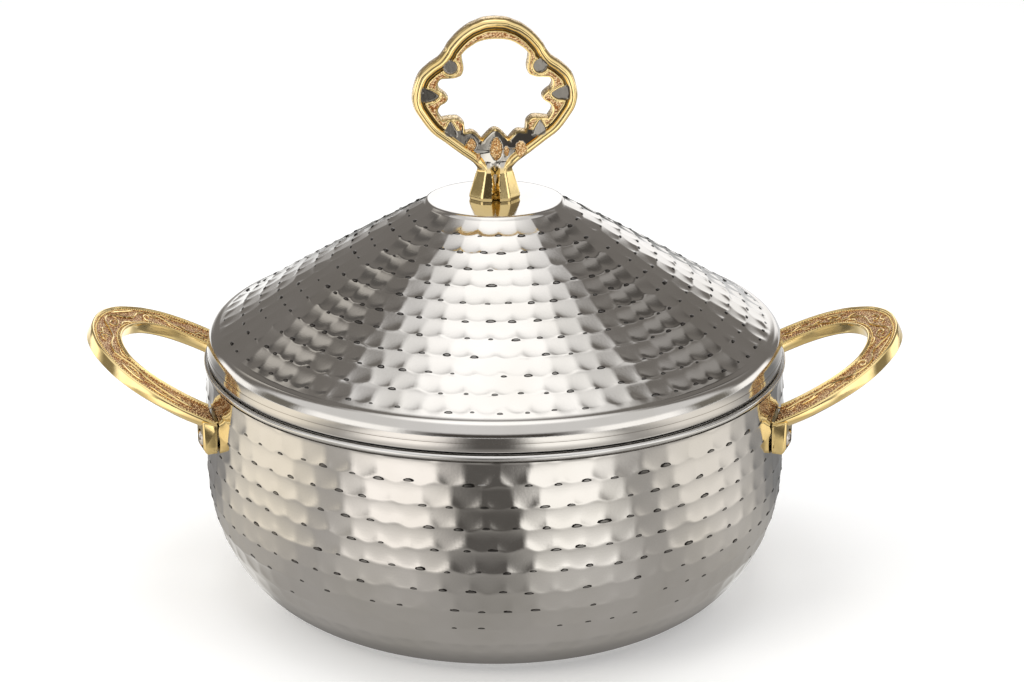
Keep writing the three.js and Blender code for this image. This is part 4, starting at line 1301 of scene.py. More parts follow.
@dataclass
class RingKnob:
    """Cast ring knob: raised rim, stippled ring, sunk pools, petals and a fluted stem.

    Places on its face are sideways from its axis and above the lid's disc. The outline and the hole
    are given for the right half, one smooth stretch after the other, and a petal by its middle and
    its half sizes. Leans, and the pools' painted reflection tones, are those of the left and the right side.
    """

    seat: float = 166.9
    turn: float = 5.0
    step: float = 0.42
    web: float = 2.8
    plateau: float = 4.1
    rim_width: float = 3.4
    channel_end: float = 4.25
    outer: tuple = (
        ((0, 75.1), (4.4, 74.7), (7.8, 73.5), (10.9, 72.1), (15.1, 68.9), (18.8, 64.7), (20.2, 62.2)),
        ((20.2, 62.2), (22.6, 59.2), (26.9, 56.2), (31, 51.8), (33.2, 44.4), (32.6, 39.2), (30.5, 35.2),
         (25.9, 29), (20.3, 24.6), (14.2, 19.9), (9.4, 16.4), (7.5, 14), (7.05, 12.6), (7.9, 10.2),
         (9.1, 6), (10.1, 2.6), (10.4, 1.2)),
        ((10.4, 1.2), (10.15, 0.1)),
        ((10.15, 0.1), (5, 0.1), (0, 0.1)),
    )
    hole: tuple = (
        ((0, 67.1), (3.6, 66.9), (7, 66), (9.6, 64.5), (12, 62.8), (13.8, 60.7)),
        ((13.8, 60.7), (13.5, 58), (13.1, 56.1), (13.1, 54.3), (13.8, 52.6), (15, 51.9), (16.7, 51.4),
         (19.3, 51.2), (22.1, 50.9), (23.4, 48.8), (22.75, 46.4), (21.1, 45), (19.9, 43.9), (19.35, 43),
         (19.5, 42.2), (20.5, 41.2), (22.2, 40.2), (23.4, 38.1), (23, 36.1), (21.6, 33.9)),
        ((21.6, 33.9), (18.8, 34.3), (15.5, 34.4), (13.9, 33.4), (12.9, 32.2), (12.7, 30.5), (12.5, 28.4)),
        ((12.5, 28.4), (11.2, 28.45), (9.6, 28.7), (7.8, 27.8), (5.4, 25.1)),
        ((5.4, 25.1), (2, 28.7), (0, 29.6)),
    )
    pools: tuple = (
        ((18.2, 58.7), (20.3, 57.8), (21.2, 55.7), (20.3, 53.6), (18.2, 52.8), (16.1, 53.6), (15.2, 55.7),
         (16.1, 57.8)),
        ((30, 47.3), (27, 46.9), (24.7, 45.9), (22.7, 44.2), (24.5, 42.2), (27, 41.6), (30, 41.9)),
        ((18.3, 33.6), (16.8, 31.9), (15.4, 29), (15.5, 26.5), (20, 27.5), (20.6, 29.6), (19.6, 31.6)),
    )
    petals: tuple = (
        (-9.8, 23.4, 2.1, 2.7), (0.4, 21.5, 2.5, 4.9), (4.6, 20.4, 1.1, 2.2), (10.4, 21.6, 2.35, 3.3),
        (-6.9, 18.6, 1.0, 1.3),
    )
    petal_rise: float = 1.0
    petal_power: float = 1.7
    petal_groove: float = 0.35
    petal_stipple: float = 0.8
    lean: float = 0.09
    pool_leans: tuple = ((-0.1, 0.09), (0.09, 0.09), (0.16, -0.06))
    pool_hollow: float = 0.4
    pool_border: float = 0.3
    # painted reflection: how dark each pool is painted, on the left and on the right side
    pool_tones: tuple = ((0.0, 0.6), (0.6, 0.72), (0.25, 0.0))
    channel_depth: float = 1.3
    # painted shade in the stem's middle groove
    groove_tone: float = 0.3
    shadow_tone: float = 0.45
    fill_inset: float = 5.45
    hole_inset: float = 1.5
    stem_top: float = 15.0
    rim_profile: tuple = (
        (0, 3.3), (0.22, 3.85), (0.5, 4.3), (0.9, 4.6), (1.7, 4.75), (2.5, 4.6), (2.95, 4.3), (3.25, 3.8),
        (3.5, 2.8),
    )
    edge_lines: tuple = (0.22, 0.5, 0.9, 1.7, 2.5, 2.95, 3.25, 3.5, 3.9, 4.35, 4.6, 4.95, 5.3)
    hole_lines: tuple = (0.2, 0.45, 0.7, 1.0, 1.35)
    pool_lines: tuple = (-0.5, -0.05, 0.3)

    def loops(self) -> tuple[Array, Array]:
        """Outline and hole of the ring, closed."""
        outline, hole = (mirrored(smooth_stretches(half, self.step)) for half in (self.outer, self.hole))
        return outline, hole

    def pool_loops(self) -> list[Array]:
        """Outlines of the sunk pools on the right side."""
        return [smooth_curve(pool, 0.4, closed=True) for pool in self.pools]

    def web_points(self, outline: Array, hole: Array) -> Array:
        """Places of the face's mesh: level lines along every edge and an even fill."""
        lines = [level_line(outline, gap, self.step) for gap in self.edge_lines]
        lines += [level_line(hole, -gap, self.step) for gap in self.hole_lines]
        for loop in self.pool_loops():
            for gap in self.pool_lines:
                line = level_line(loop, gap, self.step)
                lines += [line, line * [-1, 1]]
        low, high = outline.min(0), outline.max(0)
        rows = np.arange(low[1], high[1], self.step * 0.87)
        across = np.arange(low[0], high[0], self.step)
        grid = np.vstack([np.column_stack([across + (i % 2) * self.step / 2, np.full(len(across), row)])
                          for i, row in enumerate(rows)])
        far_in, off_hole = depth_in(grid, outline), -depth_in(grid, hole)
        deep = (far_in > self.fill_inset) & (off_hole > self.hole_inset)
        stem = (grid[:, 1] < self.stem_top) & (far_in > 1.0)
        sunk = np.zeros(len(grid), bool)
        for loop in self.pool_loops():
            sunk |= depth_in(np.abs(grid * [1, 0]) + grid * [0, 1], loop) > 0.1
        grid = grid[deep | stem | (sunk & (far_in > 0.4) & (off_hole > 0.3))]
        lines = np.vstack(lines)
        ok = (depth_in(lines, outline) > 0.12) & (depth_in(lines, hole) < -0.12)
        return thin_out(np.vstack([lines[ok], grid]), self.step * 0.45)

    def field_slope(self, x: Array, w: Array) -> Array:
        """Rise of the sunk lower field: it leans one way above and the other way below."""
        above = ramp(w, 19.5, 22.5)
        return self.lean * x * above - self.lean * x * (1 - above)

    def relief(self, places: Array, outline: Array, hole: Array) -> tuple[Array, ...]:
        """Half thickness of the casting at places of its face.

        Args:
            places: sideways place and height above the lid's disc, one pair a row.
            outline: closed outline of the ring.
            hole: closed outline of its hole.

        Returns:
            The half thickness, how far each place is stippled and is in a sunk pool, and how dark it is
            painted: painted shade in the channel, the stem groove and the lower field, and painted
            reflections in the pools.
        """
        x, w = places[:, 0], places[:, 1]
        wide = np.abs(x)
        from_edge, from_hole = distance_to(places, outline), distance_to(places, hole)
        rim = np.interp(from_edge, *np.array(self.rim_profile).T)
        lower = (w < 29.6) | ((wide < 13.5) & (w < 33))
        ring = ramp(from_edge, self.channel_end, self.channel_end + 0.3) * ~lower
        height = self.web + (self.plateau - self.web) * ring + 0.25 * hump(from_edge, 4.85, 0.45) * ring
        stipple = ring * ramp(from_edge, 5.15, 5.35)
        pool = lower * ramp(from_edge, self.rim_width + 0.1, self.rim_width + 0.4)
        height = height + self.field_slope(x, w) * pool
        channel = 1 - ramp(from_edge, self.channel_end - 0.1, self.channel_end + 0.1)
        channel = channel * ramp(from_edge, 3.3, 3.6) * ~lower
        height = height - self.channel_depth * channel
        height, stipple, pool, painted_reflection = self.sink_pools(x, w, ring, height, stipple, pool)
        lip = ramp(from_hole, 0.75, 0.5) * lower
        height = np.maximum(height, self.web + 0.8 * lip * (0.4 + 0.6 * ramp(from_hole, 0.0, 0.25)))
        pool = pool * (1 - lip)
        stipple = stipple * ramp(from_hole, 0.55, 0.75)
        height = np.where(from_edge < 3.5, np.maximum(rim, height * (from_edge > 3.2)), height)
        height, stipple, pool = self.raise_petals(x, w, height, stipple, pool)
        stem, groove = self.stem_depth(wide, w)
        up = ramp(w, 11.5, 16.5)
        height = stem * (1 - up) + height * up
        pool = pool * ramp(w, 12.5, 14.5)
        # painted shade: the whole channel and, more lightly, the stem's middle groove
        mark = np.maximum(channel * up * (1 - pool), self.groove_tone * groove * ramp(w, 15.5, 12.5))
        shadow = self.shadow_tone * pool * ramp(wide + w * 0.35, 9.5, 14.0)
        return height, stipple, pool, np.maximum(np.maximum(mark, painted_reflection), shadow)

    def sink_pools(self, x: Array, w: Array, ring: Array, height: Array, stipple: Array, pool: Array) -> tuple:
        """Sink the leaning pools into the ring, each in a low border, and give their painted reflection tones too.
        """
        wide = np.abs(x)
        folded = np.column_stack([wide, w])
        painted_reflection = np.zeros(len(x))
        for loop, leans, painted_reflections in zip(self.pool_loops(), self.pool_leans, self.pool_tones):
            depth = depth_in(folded, loop)
            lean = np.where(x < 0, *leans) * (wide - loop[:, 0].mean()) * np.sign(x)
            sunk = ramp(depth, 0.0, 0.4)
            height = height + self.pool_border * hump(depth, -0.5, 0.6) * ring
            dish = self.pool_hollow * (1 - np.exp(-np.clip(depth, 0, None) / 0.6))
            height = height * (1 - sunk) + (self.web - dish + lean) * sunk
            stipple = stipple * (1 - ramp(depth, -1.15, -0.95))
            pool = np.maximum(pool, sunk)
            # painted reflection darkness of this pool, set for each side
            painted_reflection = np.maximum(painted_reflection, sunk * np.where(x < 0, *painted_reflections))
        return height, stipple, pool, painted_reflection

    def raise_petals(self, x: Array, w: Array, height: Array, stipple: Array, pool: Array) -> tuple:
        """Raise the petals, each with a groove down its middle."""
        for cx, cw, half_x, half_w in self.petals:
            reach = np.abs((x - cx) / half_x) ** self.petal_power + np.abs((w - cw) / half_w) ** self.petal_power
            on = np.clip(1 - reach, 0, 1)
            groove = self.petal_groove * hump(x, cx, self.petal_groove) * (on > 0.05)
            height = np.maximum(height, (self.web + self.petal_rise * np.sqrt(on) - groove) * (on > 0))
            stipple = np.maximum(stipple, (on > 0.02) * self.petal_stipple)
            pool = pool * (on <= 0.02)
        return height, stipple, pool

    @staticmethod
    def stem_depth(wide: Array, w: Array) -> tuple[Array, Array]:
        """Half depth of the faceted stem, and how far each place is in its middle groove."""
        half_width = np.interp(w, [0, 1.2, 2.6, 6, 10.2, 12.6, 14, 17],
                               [10.2, 10.45, 10.15, 9.15, 7.95, 7.1, 7.5, 9.5])
        half_depth = np.interp(w, [0, 1.2, 7, 12.3, 15, 19], [6.5, 6.8, 6.0, 5.1, 4.9, 4.2])
        share = np.clip(wide / half_width, 0, 1)
        body = half_depth * np.interp(share, [0, 0.5, 0.56, 0.94, 1], [1, 0.89, 0.85, 0.22, 0.12])
        groove_width = np.interp(w, [1, 4, 7, 10, 13], [1.7, 1.4, 1.2, 1.3, 2.2])
        groove = 3.4 * np.clip(1 - wide / groove_width, 0, 1) ** 0.8
        return np.maximum(body - groove, 0.8), ramp(groove, 0.5, 1.2)

    def build(self, finishes: Finishes) -> None:
        """Make the casting from its two faces and the walls between them."""
        outline, hole = self.loops()
        loops = np.vstack([outline, hole])
        places = np.vstack([loops, self.web_points(outline, hole)])
        n, m = len(outline), len(hole)
        edges = [(i, (i + 1) % n) for i in range(n)] + [(n + i, n + (i + 1) % m) for i in range(m)]
        flat, _, faces, *_ = delaunay_2d_cdt([Vector(p) for p in places], edges, [], 0, 1e-5)
        flat = np.array([tuple(p) for p in flat])
        faces = np.array(faces)
        middle = flat[faces].mean(1)
        faces = faces[inside(middle, outline) & ~inside(middle, hole)]
        # channel holds the face's painted shade and reflection: channel, groove, lower field and pools
        height, stipple, pool, channel = self.relief(flat, outline, hole)
        verts, polygons = self.two_faces(flat, height, faces)
        knob = new_object("ring_knob", verts, polygons)
        count = len(flat)
        walls = np.ones(len(verts) - 2 * count)
        # The walls take a third of the stipple: a rougher bumpy cast finish, whose darker orange colour is also
        # painted shade on the walls.
        for name, values, at_walls in (("stipple", stipple, 0.35), ("pool", pool, 0.0), ("mark", channel, 0.0)):
            put_values(knob, name, np.concatenate([values, values, walls * at_walls]))
        stand = Matrix.Translation((0, 0, self.seat * MM)) @ Matrix.Rotation(math.radians(self.turn), 4, "Z")
        knob.data.transform(stand)
        tidy_normals(knob)
        shade(knob, 48)
        place_piece(knob, LID, Slot.GOLD, finishes, "knob")

    @staticmethod
    def two_faces(flat: Array, height: Array, faces: Array) -> tuple[Array, list]:
        """Mirror a face about the casting's middle and close its edges with rounded walls."""
        count = len(flat)
        front = np.column_stack([flat[:, 0], -height, flat[:, 1]])
        back = np.column_stack([flat[:, 0], height, flat[:, 1]])
        polygons = [tuple(f) for f in faces] + [tuple(f[::-1] + count) for f in faces]
        seen = dict.fromkeys((p, q) for a, b, c in faces for p, q in ((a, b), (b, c), (c, a)))
        border = [(p, q) for p, q in seen if (q, p) not in seen]
        out = np.zeros((count, 2))
        for p, q in border:
            along = flat[q] - flat[p]
            out[[p, q]] += [along[1], -along[0]]
        length = np.linalg.norm(out, axis=1)
        out /= np.maximum(length, 1e-9)[:, None]
        ring = np.flatnonzero(length > 0)
        number = {int(v): i for i, v in enumerate(ring)}
        walls = []
        for level in (-0.6, 0.0, 0.6):
            bulge = 0.4 * (1 - level**2) * np.minimum(height[ring] / 3.3, 1) * (flat[ring, 1] > 0.5)
            side = flat[ring] + out[ring] * bulge[:, None]
            walls.append(np.column_stack([side[:, 0], level * height[ring], side[:, 1]]))
        verts = np.vstack([front, back, *walls])
        for p, q in border:
            near, far = ([v, *(2 * count + k * len(ring) + number[int(v)] for k in range(3)), v + count]
                         for v in (p, q))
            polygons += [(near[k], near[k + 1], far[k + 1], far[k]) for k in range(4)]
        return verts, polygons


def thin_out(places: Array, gap: float) -> Array:
    """Drop places that fall in a cell already taken, so that none crowd together."""
    cells = np.round(places / gap).astype(int)
    _, first = np.unique(cells, axis=0, return_index=True)
    return places[np.sort(first)]


@dataclass(frozen=True)
class Ornament:
    """Raised scrollwork and bead rows of a handle, in the plane of its top face.

    Each stroke is a list of places: outwards from the handle's foot, and along its width.
    """

    vine: tuple[Point, ...] = (
        (2.5, 41.2), (8.3, 40.5), (14.8, 38.6), (20.3, 36.0), (24.5, 33.2), (28.5, 29.4), (32.1, 27.0),
        (36.5, 25.2), (40.0, 22.8), (42.2, 18.5), (43.0, 13.8), (43.2, 9.2), (44.5, 5.0), (46.6, 0.9),
        (48.9, -3.3), (49.6, -7.6), (48.8, -11.5), (46.4, -14.6), (43.6, -16.9), (40.9, -19.6),
        (39.0, -23.2), (38.3, -28.0), (36.2, -31.8), (33.0, -34.4), (29.3, -35.4), (26.2, -35.2),
        (22.7, -34.6), (18.4, -34.2), (13.7, -35.6), (8.3, -36.0), (2.9, -36.6), (-1.8, -37.6),
    )
    strokes: tuple[tuple[Point, ...], ...] = (
        ((46.6, -12.2), (44.9, -11.2), (43.9, -8.2), (44.3, -4.9), (45.8, -3.3), (47.1, -4.8), (46.8, -7.2),
         (45.7, -8.4)),
        ((49.6, 10.8), (48.1, 8.2), (49.1, 5.2), (47.7, 3.0)),
        ((45.1, 15.2), (46.9, 14.6), (47.9, 12.2), (46.8, 9.6), (45.3, 10.2), (45.6, 12.2)),
        ((48.4, -15.8), (46.2, -19.6), (43.8, -23.2), (41.6, -26.8), (40.0, -30.4)),
        ((27.4, 34.3), (29.6, 34.6), (32.9, 31.2), (31.5, 30.2), (28.9, 32.0), (27.4, 34.3)),
        ((31.2, -27.2), (33.1, -25.4), (35.3, -27.4), (34.9, -30.4), (33.1, -30.6), (33.0, -28.6)),
        ((30.4, -38.6), (27.6, -39.8), (24.6, -39.5), (21.1, -41.0), (16.5, -43.4)),
        ((35.8, 31.0), (32.3, 34.4), (28.7, 37.2), (24.8, 38.6)),
        ((21.4, 40.6), (17.2, 42.6), (12.6, 43.4), (8.0, 44.0)),
        ((12.1, -38.9), (8.8, -40.1), (4.9, -40.6)),
        ((38.6, 18.0), (37.4, 21.4), (34.4, 23.6)),
        ((42.4, -7.4), (42.0, -11.6), (39.6, -15.4), (36.8, -18.8)),
    )
    leaf_gap: float = 4.6
    leaf_length: float = 4.2
    leaf_spread: float = 2.3
    leaves_below: float = 37.0
    row_inset: float = 2.15
    free_border: float = 2.7
    depth: float = -0.6
    rib: float = 0.43
    bead: float = 0.46
    bead_spacing: float = 1.25

    def lines(self, band: Array) -> list[tuple[Array, float]]:
        """Every rib inside the band between the borders, with how thick it is beside the vine."""
        vine = smooth_curve(self.vine, 0.4)
        found = [(vine, 1.0)] + [(smooth_curve(stroke, 0.4), 0.85) for stroke in self.strokes]
        found += [(leaf, 0.75) for leaf in self.leaves(vine)]
        cut = [(line[depth_in(line, band) > self.free_border], share) for line, share in found]
        return [(line, share) for line, share in cut if len(line) > 3]

    def leaves(self, vine: Array) -> list[Array]:
        """Short curved leaves that spring from both sides of the vine along the two limbs."""
        stems = divide_evenly(vine, self.leaf_gap)
        along = np.gradient(stems, axis=0)
        along /= np.linalg.norm(along, axis=1)[:, None]
        found = []
        for number, (stem, way) in enumerate(zip(stems[1:-1], along[1:-1])):
            if stem[0] > self.leaves_below:
                continue
            aside = np.array([-way[1], way[0]]) * (1 if number % 2 else -1)
            bend = [stem + way * self.leaf_length * f + aside * self.leaf_spread * g
                    for f, g in ((0.05, 0.3), (0.35, 0.85), (0.7, 1.15), (1.0, 1.0))]
            found.append(smooth_curve(bend, 0.5))
        return found

    def make(self, sides: list[Array], tilt: Matrix) -> tuple[Object, Object]:
        """Make the ribs' lines and the bead rows' lines, laid on the tilted face."""
        band = np.vstack([sides[0], sides[1][::-1]])
        ribs = self.line_object("ribs", self.lines(band), tilt)
        rows = []
        for side, inwards in zip(sides, (1, -1)):
            along = np.gradient(side, axis=0)
            aside = np.column_stack([-along[:, 1], along[:, 0]]) / np.linalg.norm(along, axis=1)[:, None]
            rows.append((side + aside * self.row_inset * inwards, 1.0))
        return ribs, self.line_object("bead_rows", rows, tilt)

    def line_object(self, name: str, lines: list[tuple[Array, float]], tilt: Matrix) -> Object:
        """Make one object of separate lines, which taper towards their ends."""
        verts, edges, thick = [], [], []
        for line, share in lines:
            edges += [(len(verts) + i, len(verts) + i + 1) for i in range(len(line) - 1)]
            verts += [(u, v, self.depth) for u, v in line]
            place = np.linspace(0, 1, len(line))
            thick.append(share * (0.45 + 0.55 * np.clip(np.minimum(place, 1 - place) * len(line) / 5, 0, 1)))
        obj = new_object(name, verts, [], edges)
        put_values(obj, "thick", np.concatenate(thick))
        obj.data.transform(tilt)
        return obj


@dataclass
class LoopHandle:
    """Cast loop handle on two lugs, with a stippled top between raised borders."""

    foot_radius: float = 120.0
    plane_height: float = 89.8
    tilt: float = 27.6
    reach: float = 53.9
    spread: float = 48.6
    stations: int = 230
    tip_thickness: float = 5.8
    root_thickness: float = 4.4
    tip_bevel: float = 0.4
    root_bevel: float = 2.4
    outer: tuple = (
        (-0.263, 0.936), (-0.152, 0.971), (0.072, 1), (0.223, 0.984), (0.39, 0.938), (0.557, 0.854),
        (0.714, 0.724), (0.863, 0.531), (0.946, 0.35), (0.989, 0.175), (1, 0),
    )
    inner: tuple = (
        (-0.263, 0.556), (-0.074, 0.638), (0.056, 0.654), (0.186, 0.644), (0.297, 0.621), (0.408, 0.582),
        (0.519, 0.516), (0.612, 0.424), (0.69, 0.284), (0.735, 0.136), (0.748, 0),
    )
    lug_azimuth: float = 20.49
    lug_width: float = 11.0
    lug_depth: float = 5.8
    lug_foot: float = 72.9
    fixing_height: float = 78.5
    wall_radius: float = 121.55
    clearance: float = 0.3
    screw_hole: float = 2.3
    recess_radius: float = 4.0
    recess_depth: float = 2.4
    ground_points: int = 9
    stipple_from: float = -0.95
    core_heights: tuple[float, float] = (30.0, 110.0)
    drill_end: float = 140.0
    ornament: Ornament = Ornament()

    def side(self, shares: tuple) -> Array:
        """One side of the loop in its plane, from the front root round the tip to the back root."""
        half = np.array(shares) * [self.reach, self.spread]
        line = np.vstack([half * [1, -1], half[:-1][::-1]])
        dense = smooth_curve(line, 0.1)
        length = np.linalg.norm(np.diff(dense, axis=0), axis=1).sum()
        return divide_evenly(dense, length / self.stations)

    def section(self, width: float, towards_root: float) -> list[Place]:
        """Section of the casting at one place round the loop.

        Args:
            width: distance between its inner and its outer side.
            towards_root: 0 at the loop's tip, where its side stands upright, and 1 at a root, where
                a broad bevel cuts under it.

        Returns:
            Distance from the inner side, height over the top face and stipple, once round.
        """
        w = width
        thick = self.tip_thickness + (self.root_thickness - self.tip_thickness) * towards_root
        bevel = self.tip_bevel + (self.root_bevel - self.tip_bevel) * towards_root
        edge = -float(np.interp(towards_root, [0, 0.45, 0.55, 0.68, 0.8, 0.92],
                                [thick - 0.5, thick - 0.6, 4.2, 3.6, 2.4, 1.9]))
        inner = [(0.6, -thick, 0), (0.2, 0.35 - thick, 0), (0, 0.9 - thick, 0), (-0.05, -2.5, 0), (0, -0.65, 0),
                 (0.1, -0.25, 0), (0.35, -0.03, 0), (0.7, 0.05, 0), (1.05, -0.08, 0), (1.28, -0.4, 0),
                 (1.4, -0.7, 0.5)]
        ground = [(1.7 + (w - 3.4) * k / (self.ground_points - 1), -0.7, 1) for k in range(self.ground_points)]
        outer = [(w - u, h, s) for u, h, s in inner[::-1]][:-4]
        fall = thick + edge
        under = [(w + 0.08, edge * 0.6, 0), (w, edge + 0.12, 0), (w - 0.14, edge, 0),
                 (w - 0.16, edge - 0.1 * fall, 0), (w - 0.12 - 0.1 * bevel, edge - 0.2 * fall, 0),
                 (w - 0.12 - 0.5 * bevel, edge - 0.6 * fall, 0), (w - 0.4 - bevel, -thick, 0),
                 (w / 2, -thick - 0.05, 0)]
        return inner + ground + outer + under

    def tilted(self) -> Matrix:
        """Placement of the handle's plane on the +X side."""
        foot = Matrix.Translation((self.foot_radius * MM, 0, self.plane_height * MM))
        return foot @ Matrix.Rotation(-math.radians(self.tilt), 4, "Y")

    def loft(self) -> Object:
        """Run the section round the loop."""
        outer, inner = self.side(self.outer), self.side(self.inner)
        rings, marks = [], []
        for turn, edge, near in zip(np.linspace(-1, 1, len(outer)), outer, inner):
            across = edge - near
            width = float(np.linalg.norm(across))
            across /= width
            section = self.section(width, abs(turn))
            rings.append([(*(near + across * u), h) for u, h, _ in section])
            marks.append([s for _, _, s in section])
        count = len(rings[0])
        faces = []
        last = (len(rings) - 1) * count
        for low in range(0, last, count):
            for i in range(count):
                j = (i + 1) % count
                faces.append((low + i, low + j, low + count + j, low + count + i))
        faces += [tuple(range(count)), tuple(range(last + count - 1, last - 1, -1))]
        obj = new_object("loop", np.array(rings).reshape(-1, 3), faces)
        put_values(obj, "stipple", np.array(marks).ravel())
        obj.data.transform(self.tilted())
        tidy_normals(obj)
        return obj

    def keep_stipple_on_top(self, handle: Object) -> None:
        """Clear the stipple of every vertex that isn't on the sunk top face."""
        back = np.array(self.tilted().inverted())
        heights = vertex_places(handle) @ back[2, :3] + back[2, 3] / MM
        layer = handle.data.attributes["stipple"].data
        values = np.empty(len(heights), np.float32)
        layer.foreach_get("value", values)
        layer.foreach_set("value", values * (heights > self.stipple_from))

    def lug(self, azimuth: float) -> Object:
        """A lug that turns down from the loop's root and lies against the wall."""
        root, face = self.wall_radius - 4.5, self.wall_radius + self.lug_depth
        rise = (face * math.cos(azimuth) - self.foot_radius) * math.tan(math.radians(self.tilt))
        foot, over = self.lug_foot, self.plane_height + rise - self.root_thickness / 2
        profile = [(root, foot), (face - 1.5, foot), (face - 0.8, foot + 0.8), (face - 0.2, foot + 2.0),
                   (face, foot + 3.2), (face, over), (root, over - 3.5)]
        half = self.lug_width / 2
        n = len(profile)
        verts = [(r, y, z) for y in (-half, half) for r, z in profile]
        faces = [tuple(range(n)), tuple(range(2 * n - 1, n - 1, -1))]
        faces += [(i, n + i, n + (i + 1) % n, (i + 1) % n) for i in range(n)]
        obj = new_object("lug", verts, faces)
        tidy_normals(obj)
        bevel = obj.modifiers.new("round", "BEVEL")
        bevel.width, bevel.segments, bevel.limit_method = 0.7 * MM, 3, "ANGLE"
        bevel.angle_limit = math.radians(50)
        bake_modifiers(obj)
        obj.data.transform(Matrix.Rotation(azimuth, 4, "Z"))
        put_values(obj, "stipple", np.zeros(len(obj.data.vertices)))
        return obj

    def bore(self, radius: float, low: float, high: float, azimuth: float) -> Object:
        """A cutter along the radius at a fixing."""
        tool = lathe("bore", [(0, low), (radius, low), (radius, high), (0, high)], 48)
        tool.data.transform(Matrix.Translation((0, 0, self.fixing_height * MM))
                            @ Matrix.Rotation(azimuth, 4, "Z") @ Matrix.Rotation(math.pi / 2, 4, "Y"))
        return tool

    def drills(self) -> list[Object]:
        """Cutters for the four screw holes in the pot's wall."""
        return [self.bore(self.screw_hole, self.wall_radius - 4, self.wall_radius + 4, side + turn)
                for side in (0, math.pi) for turn in self.lug_turns()]

    def lug_turns(self) -> list[float]:
        """Azimuths of the right handle's two lugs."""
        return [math.radians(sign * self.lug_azimuth) for sign in (-1, 1)]

    def build(self, pot: HammeredPot, finishes: Finishes) -> None:
        """Make both handles, seated round the wall and bored for their screws."""
        handle = self.loft()
        angles = self.lug_turns()
        for angle in angles:
            boolean(handle, self.lug(angle), "UNION")
        low, high = self.core_heights
        core = [(0, low)] + pot.along_wall(np.linspace(low, high, 60), self.clearance) + [(0, high)]
        boolean(handle, lathe("wall_core", core, 360), "DIFFERENCE")
        seat = self.wall_radius + self.lug_depth - self.recess_depth
        for angle in angles:
            boolean(handle, self.bore(self.screw_hole, 100, self.drill_end, angle), "DIFFERENCE")
            boolean(handle, self.bore(self.recess_radius, seat, self.drill_end, angle), "DIFFERENCE")
        self.keep_stipple_on_top(handle)
        ribs, rows = self.ornament.make([self.side(self.outer), self.side(self.inner)], self.tilted())
        grow(handle, ornament_tree(), {
            "Ribs": ribs, "Rows": rows, "Finish": finishes[Slot.GOLD], "Rib Radius": self.ornament.rib * MM,
            "Bead Radius": self.ornament.bead * MM, "Bead Spacing": self.ornament.bead_spacing * MM,
            "Unevenness": 0.3, "Seed": 4,
        })
        remove(ribs, rows)
        handle.name = "handle_casting_right"
        other = handle.copy()
        other.data = handle.data.copy()
        other.name = "handle_casting_left"
        bpy.context.scene.collection.objects.link(other)
        other.data.transform(Matrix.Rotation(math.pi, 4, "Z"))
        for obj, node in ((handle, "handle_right"), (other, "handle_left")):
            put_values(obj, "pool", np.zeros(len(obj.data.vertices)))
            shade(obj, 35)
            place_piece(obj, POT, Slot.GOLD, finishes, node)


@dataclass
class InnerBowl:
    """Pressed inner bowl with the rolled bead that covers the shell's edge."""

    mouth: float = 107.0
    floor_radius: float = 78.0
    floor: float = 12.0
    sweep: float = 28.0
    height: float = 102.0
    mouth_round: float = 2.0
    bead: float = 121.4
    sheet: float = 1.0
    columns: int = 240

    def build(self, finishes: Finishes) -> None:
        """Turn the bowl."""
        top, mouth, sheet, r = self.height, self.mouth, self.sheet, self.mouth_round
        centre, run = (self.floor_radius, self.floor + self.sweep), mouth - self.floor_radius
        upper = [(0, self.floor), (40, self.floor)] + arc(centre, run, self.sweep, np.linspace(-90, 0, 16))
        upper += [(mouth, height) for height in (55, 75, 90, 98)]
        upper += arc((mouth + r, top - r), r, r, [180, 160, 140, 120, 100, 90])
        upper += [(112, top), (118, top), (self.bead - sheet, top)]
        upper += arc((self.bead - sheet, top - sheet), sheet, sheet, [70, 50, 30, 10, -10, -30])
        tail = beside(self.bead, top, (-0.25, -1.9), (-0.6, -2.15), (-0.95, -2.1), (-1.0, -1.6), (-1.1, -1.05))
        under = [(118, top - sheet), (112, top - sheet)] + beside(mouth, top, (1.6, -1.8), (1, -3))
        under += [(mouth + sheet, height) for height in (90, 70, 50)]
        under += arc(centre, run + sheet, self.sweep + sheet, np.linspace(0, -90, 10))
        under += [(40, self.floor - sheet), (0, self.floor - sheet)]
        bowl = lathe("inner_bowl_pressing", upper + tail + under, self.columns)
        shade(bowl, 40)
        place_piece(bowl, POT, Slot.SATIN, finishes, "inner_bowl")


@dataclass
class LidLiner:
    """Pressed tray under the lid."""

    rim: float = 118.7
    plug: float = 106.5
    floor: float = 95.0
    corner: float = 4.0
    crown: float = 3.0
    crown_power: float = 2.2
    hole: float = 7.0
    flange: float = 102.3
    sheet: float = 1.0
    columns: int = 240

    def build(self, finishes: Finishes) -> None:
        """Turn the liner."""
        centre = (self.plug - self.corner, self.floor + self.corner)
        under = beside(self.hole, self.floor + self.crown, (0, 0.3), (0.3, 0))
        under += [(self.hole + (centre[0] - self.hole) * share,
                   self.floor + self.crown * (1 - share**self.crown_power))
                  for share in (0.15, 0.3, 0.45, 0.6, 0.75, 0.88)]
        under += arc(centre, self.corner, self.corner, [-90, -75, -60, -45, -30, -15, 0])
        under += beside(self.plug, self.flange, (0, -2.6), (0.4, -1.2), (1.2, -0.3), (2.5, 0))
        under += beside(self.rim, self.flange, (-0.2, 0), (0, 0.2))
        line = np.array(under)
        along = np.gradient(line, axis=0)
        side = np.column_stack([-along[:, 1], along[:, 0]])
        side /= np.linalg.norm(side, axis=1)[:, None]
        over = (line + side * self.sheet)[::-1]
        liner = lathe("lid_liner_pressing", under + [tuple(p) for p in over], self.columns)
        shade(liner, 40)
        place_piece(liner, LID, Slot.SATIN, finishes, "lid_liner")


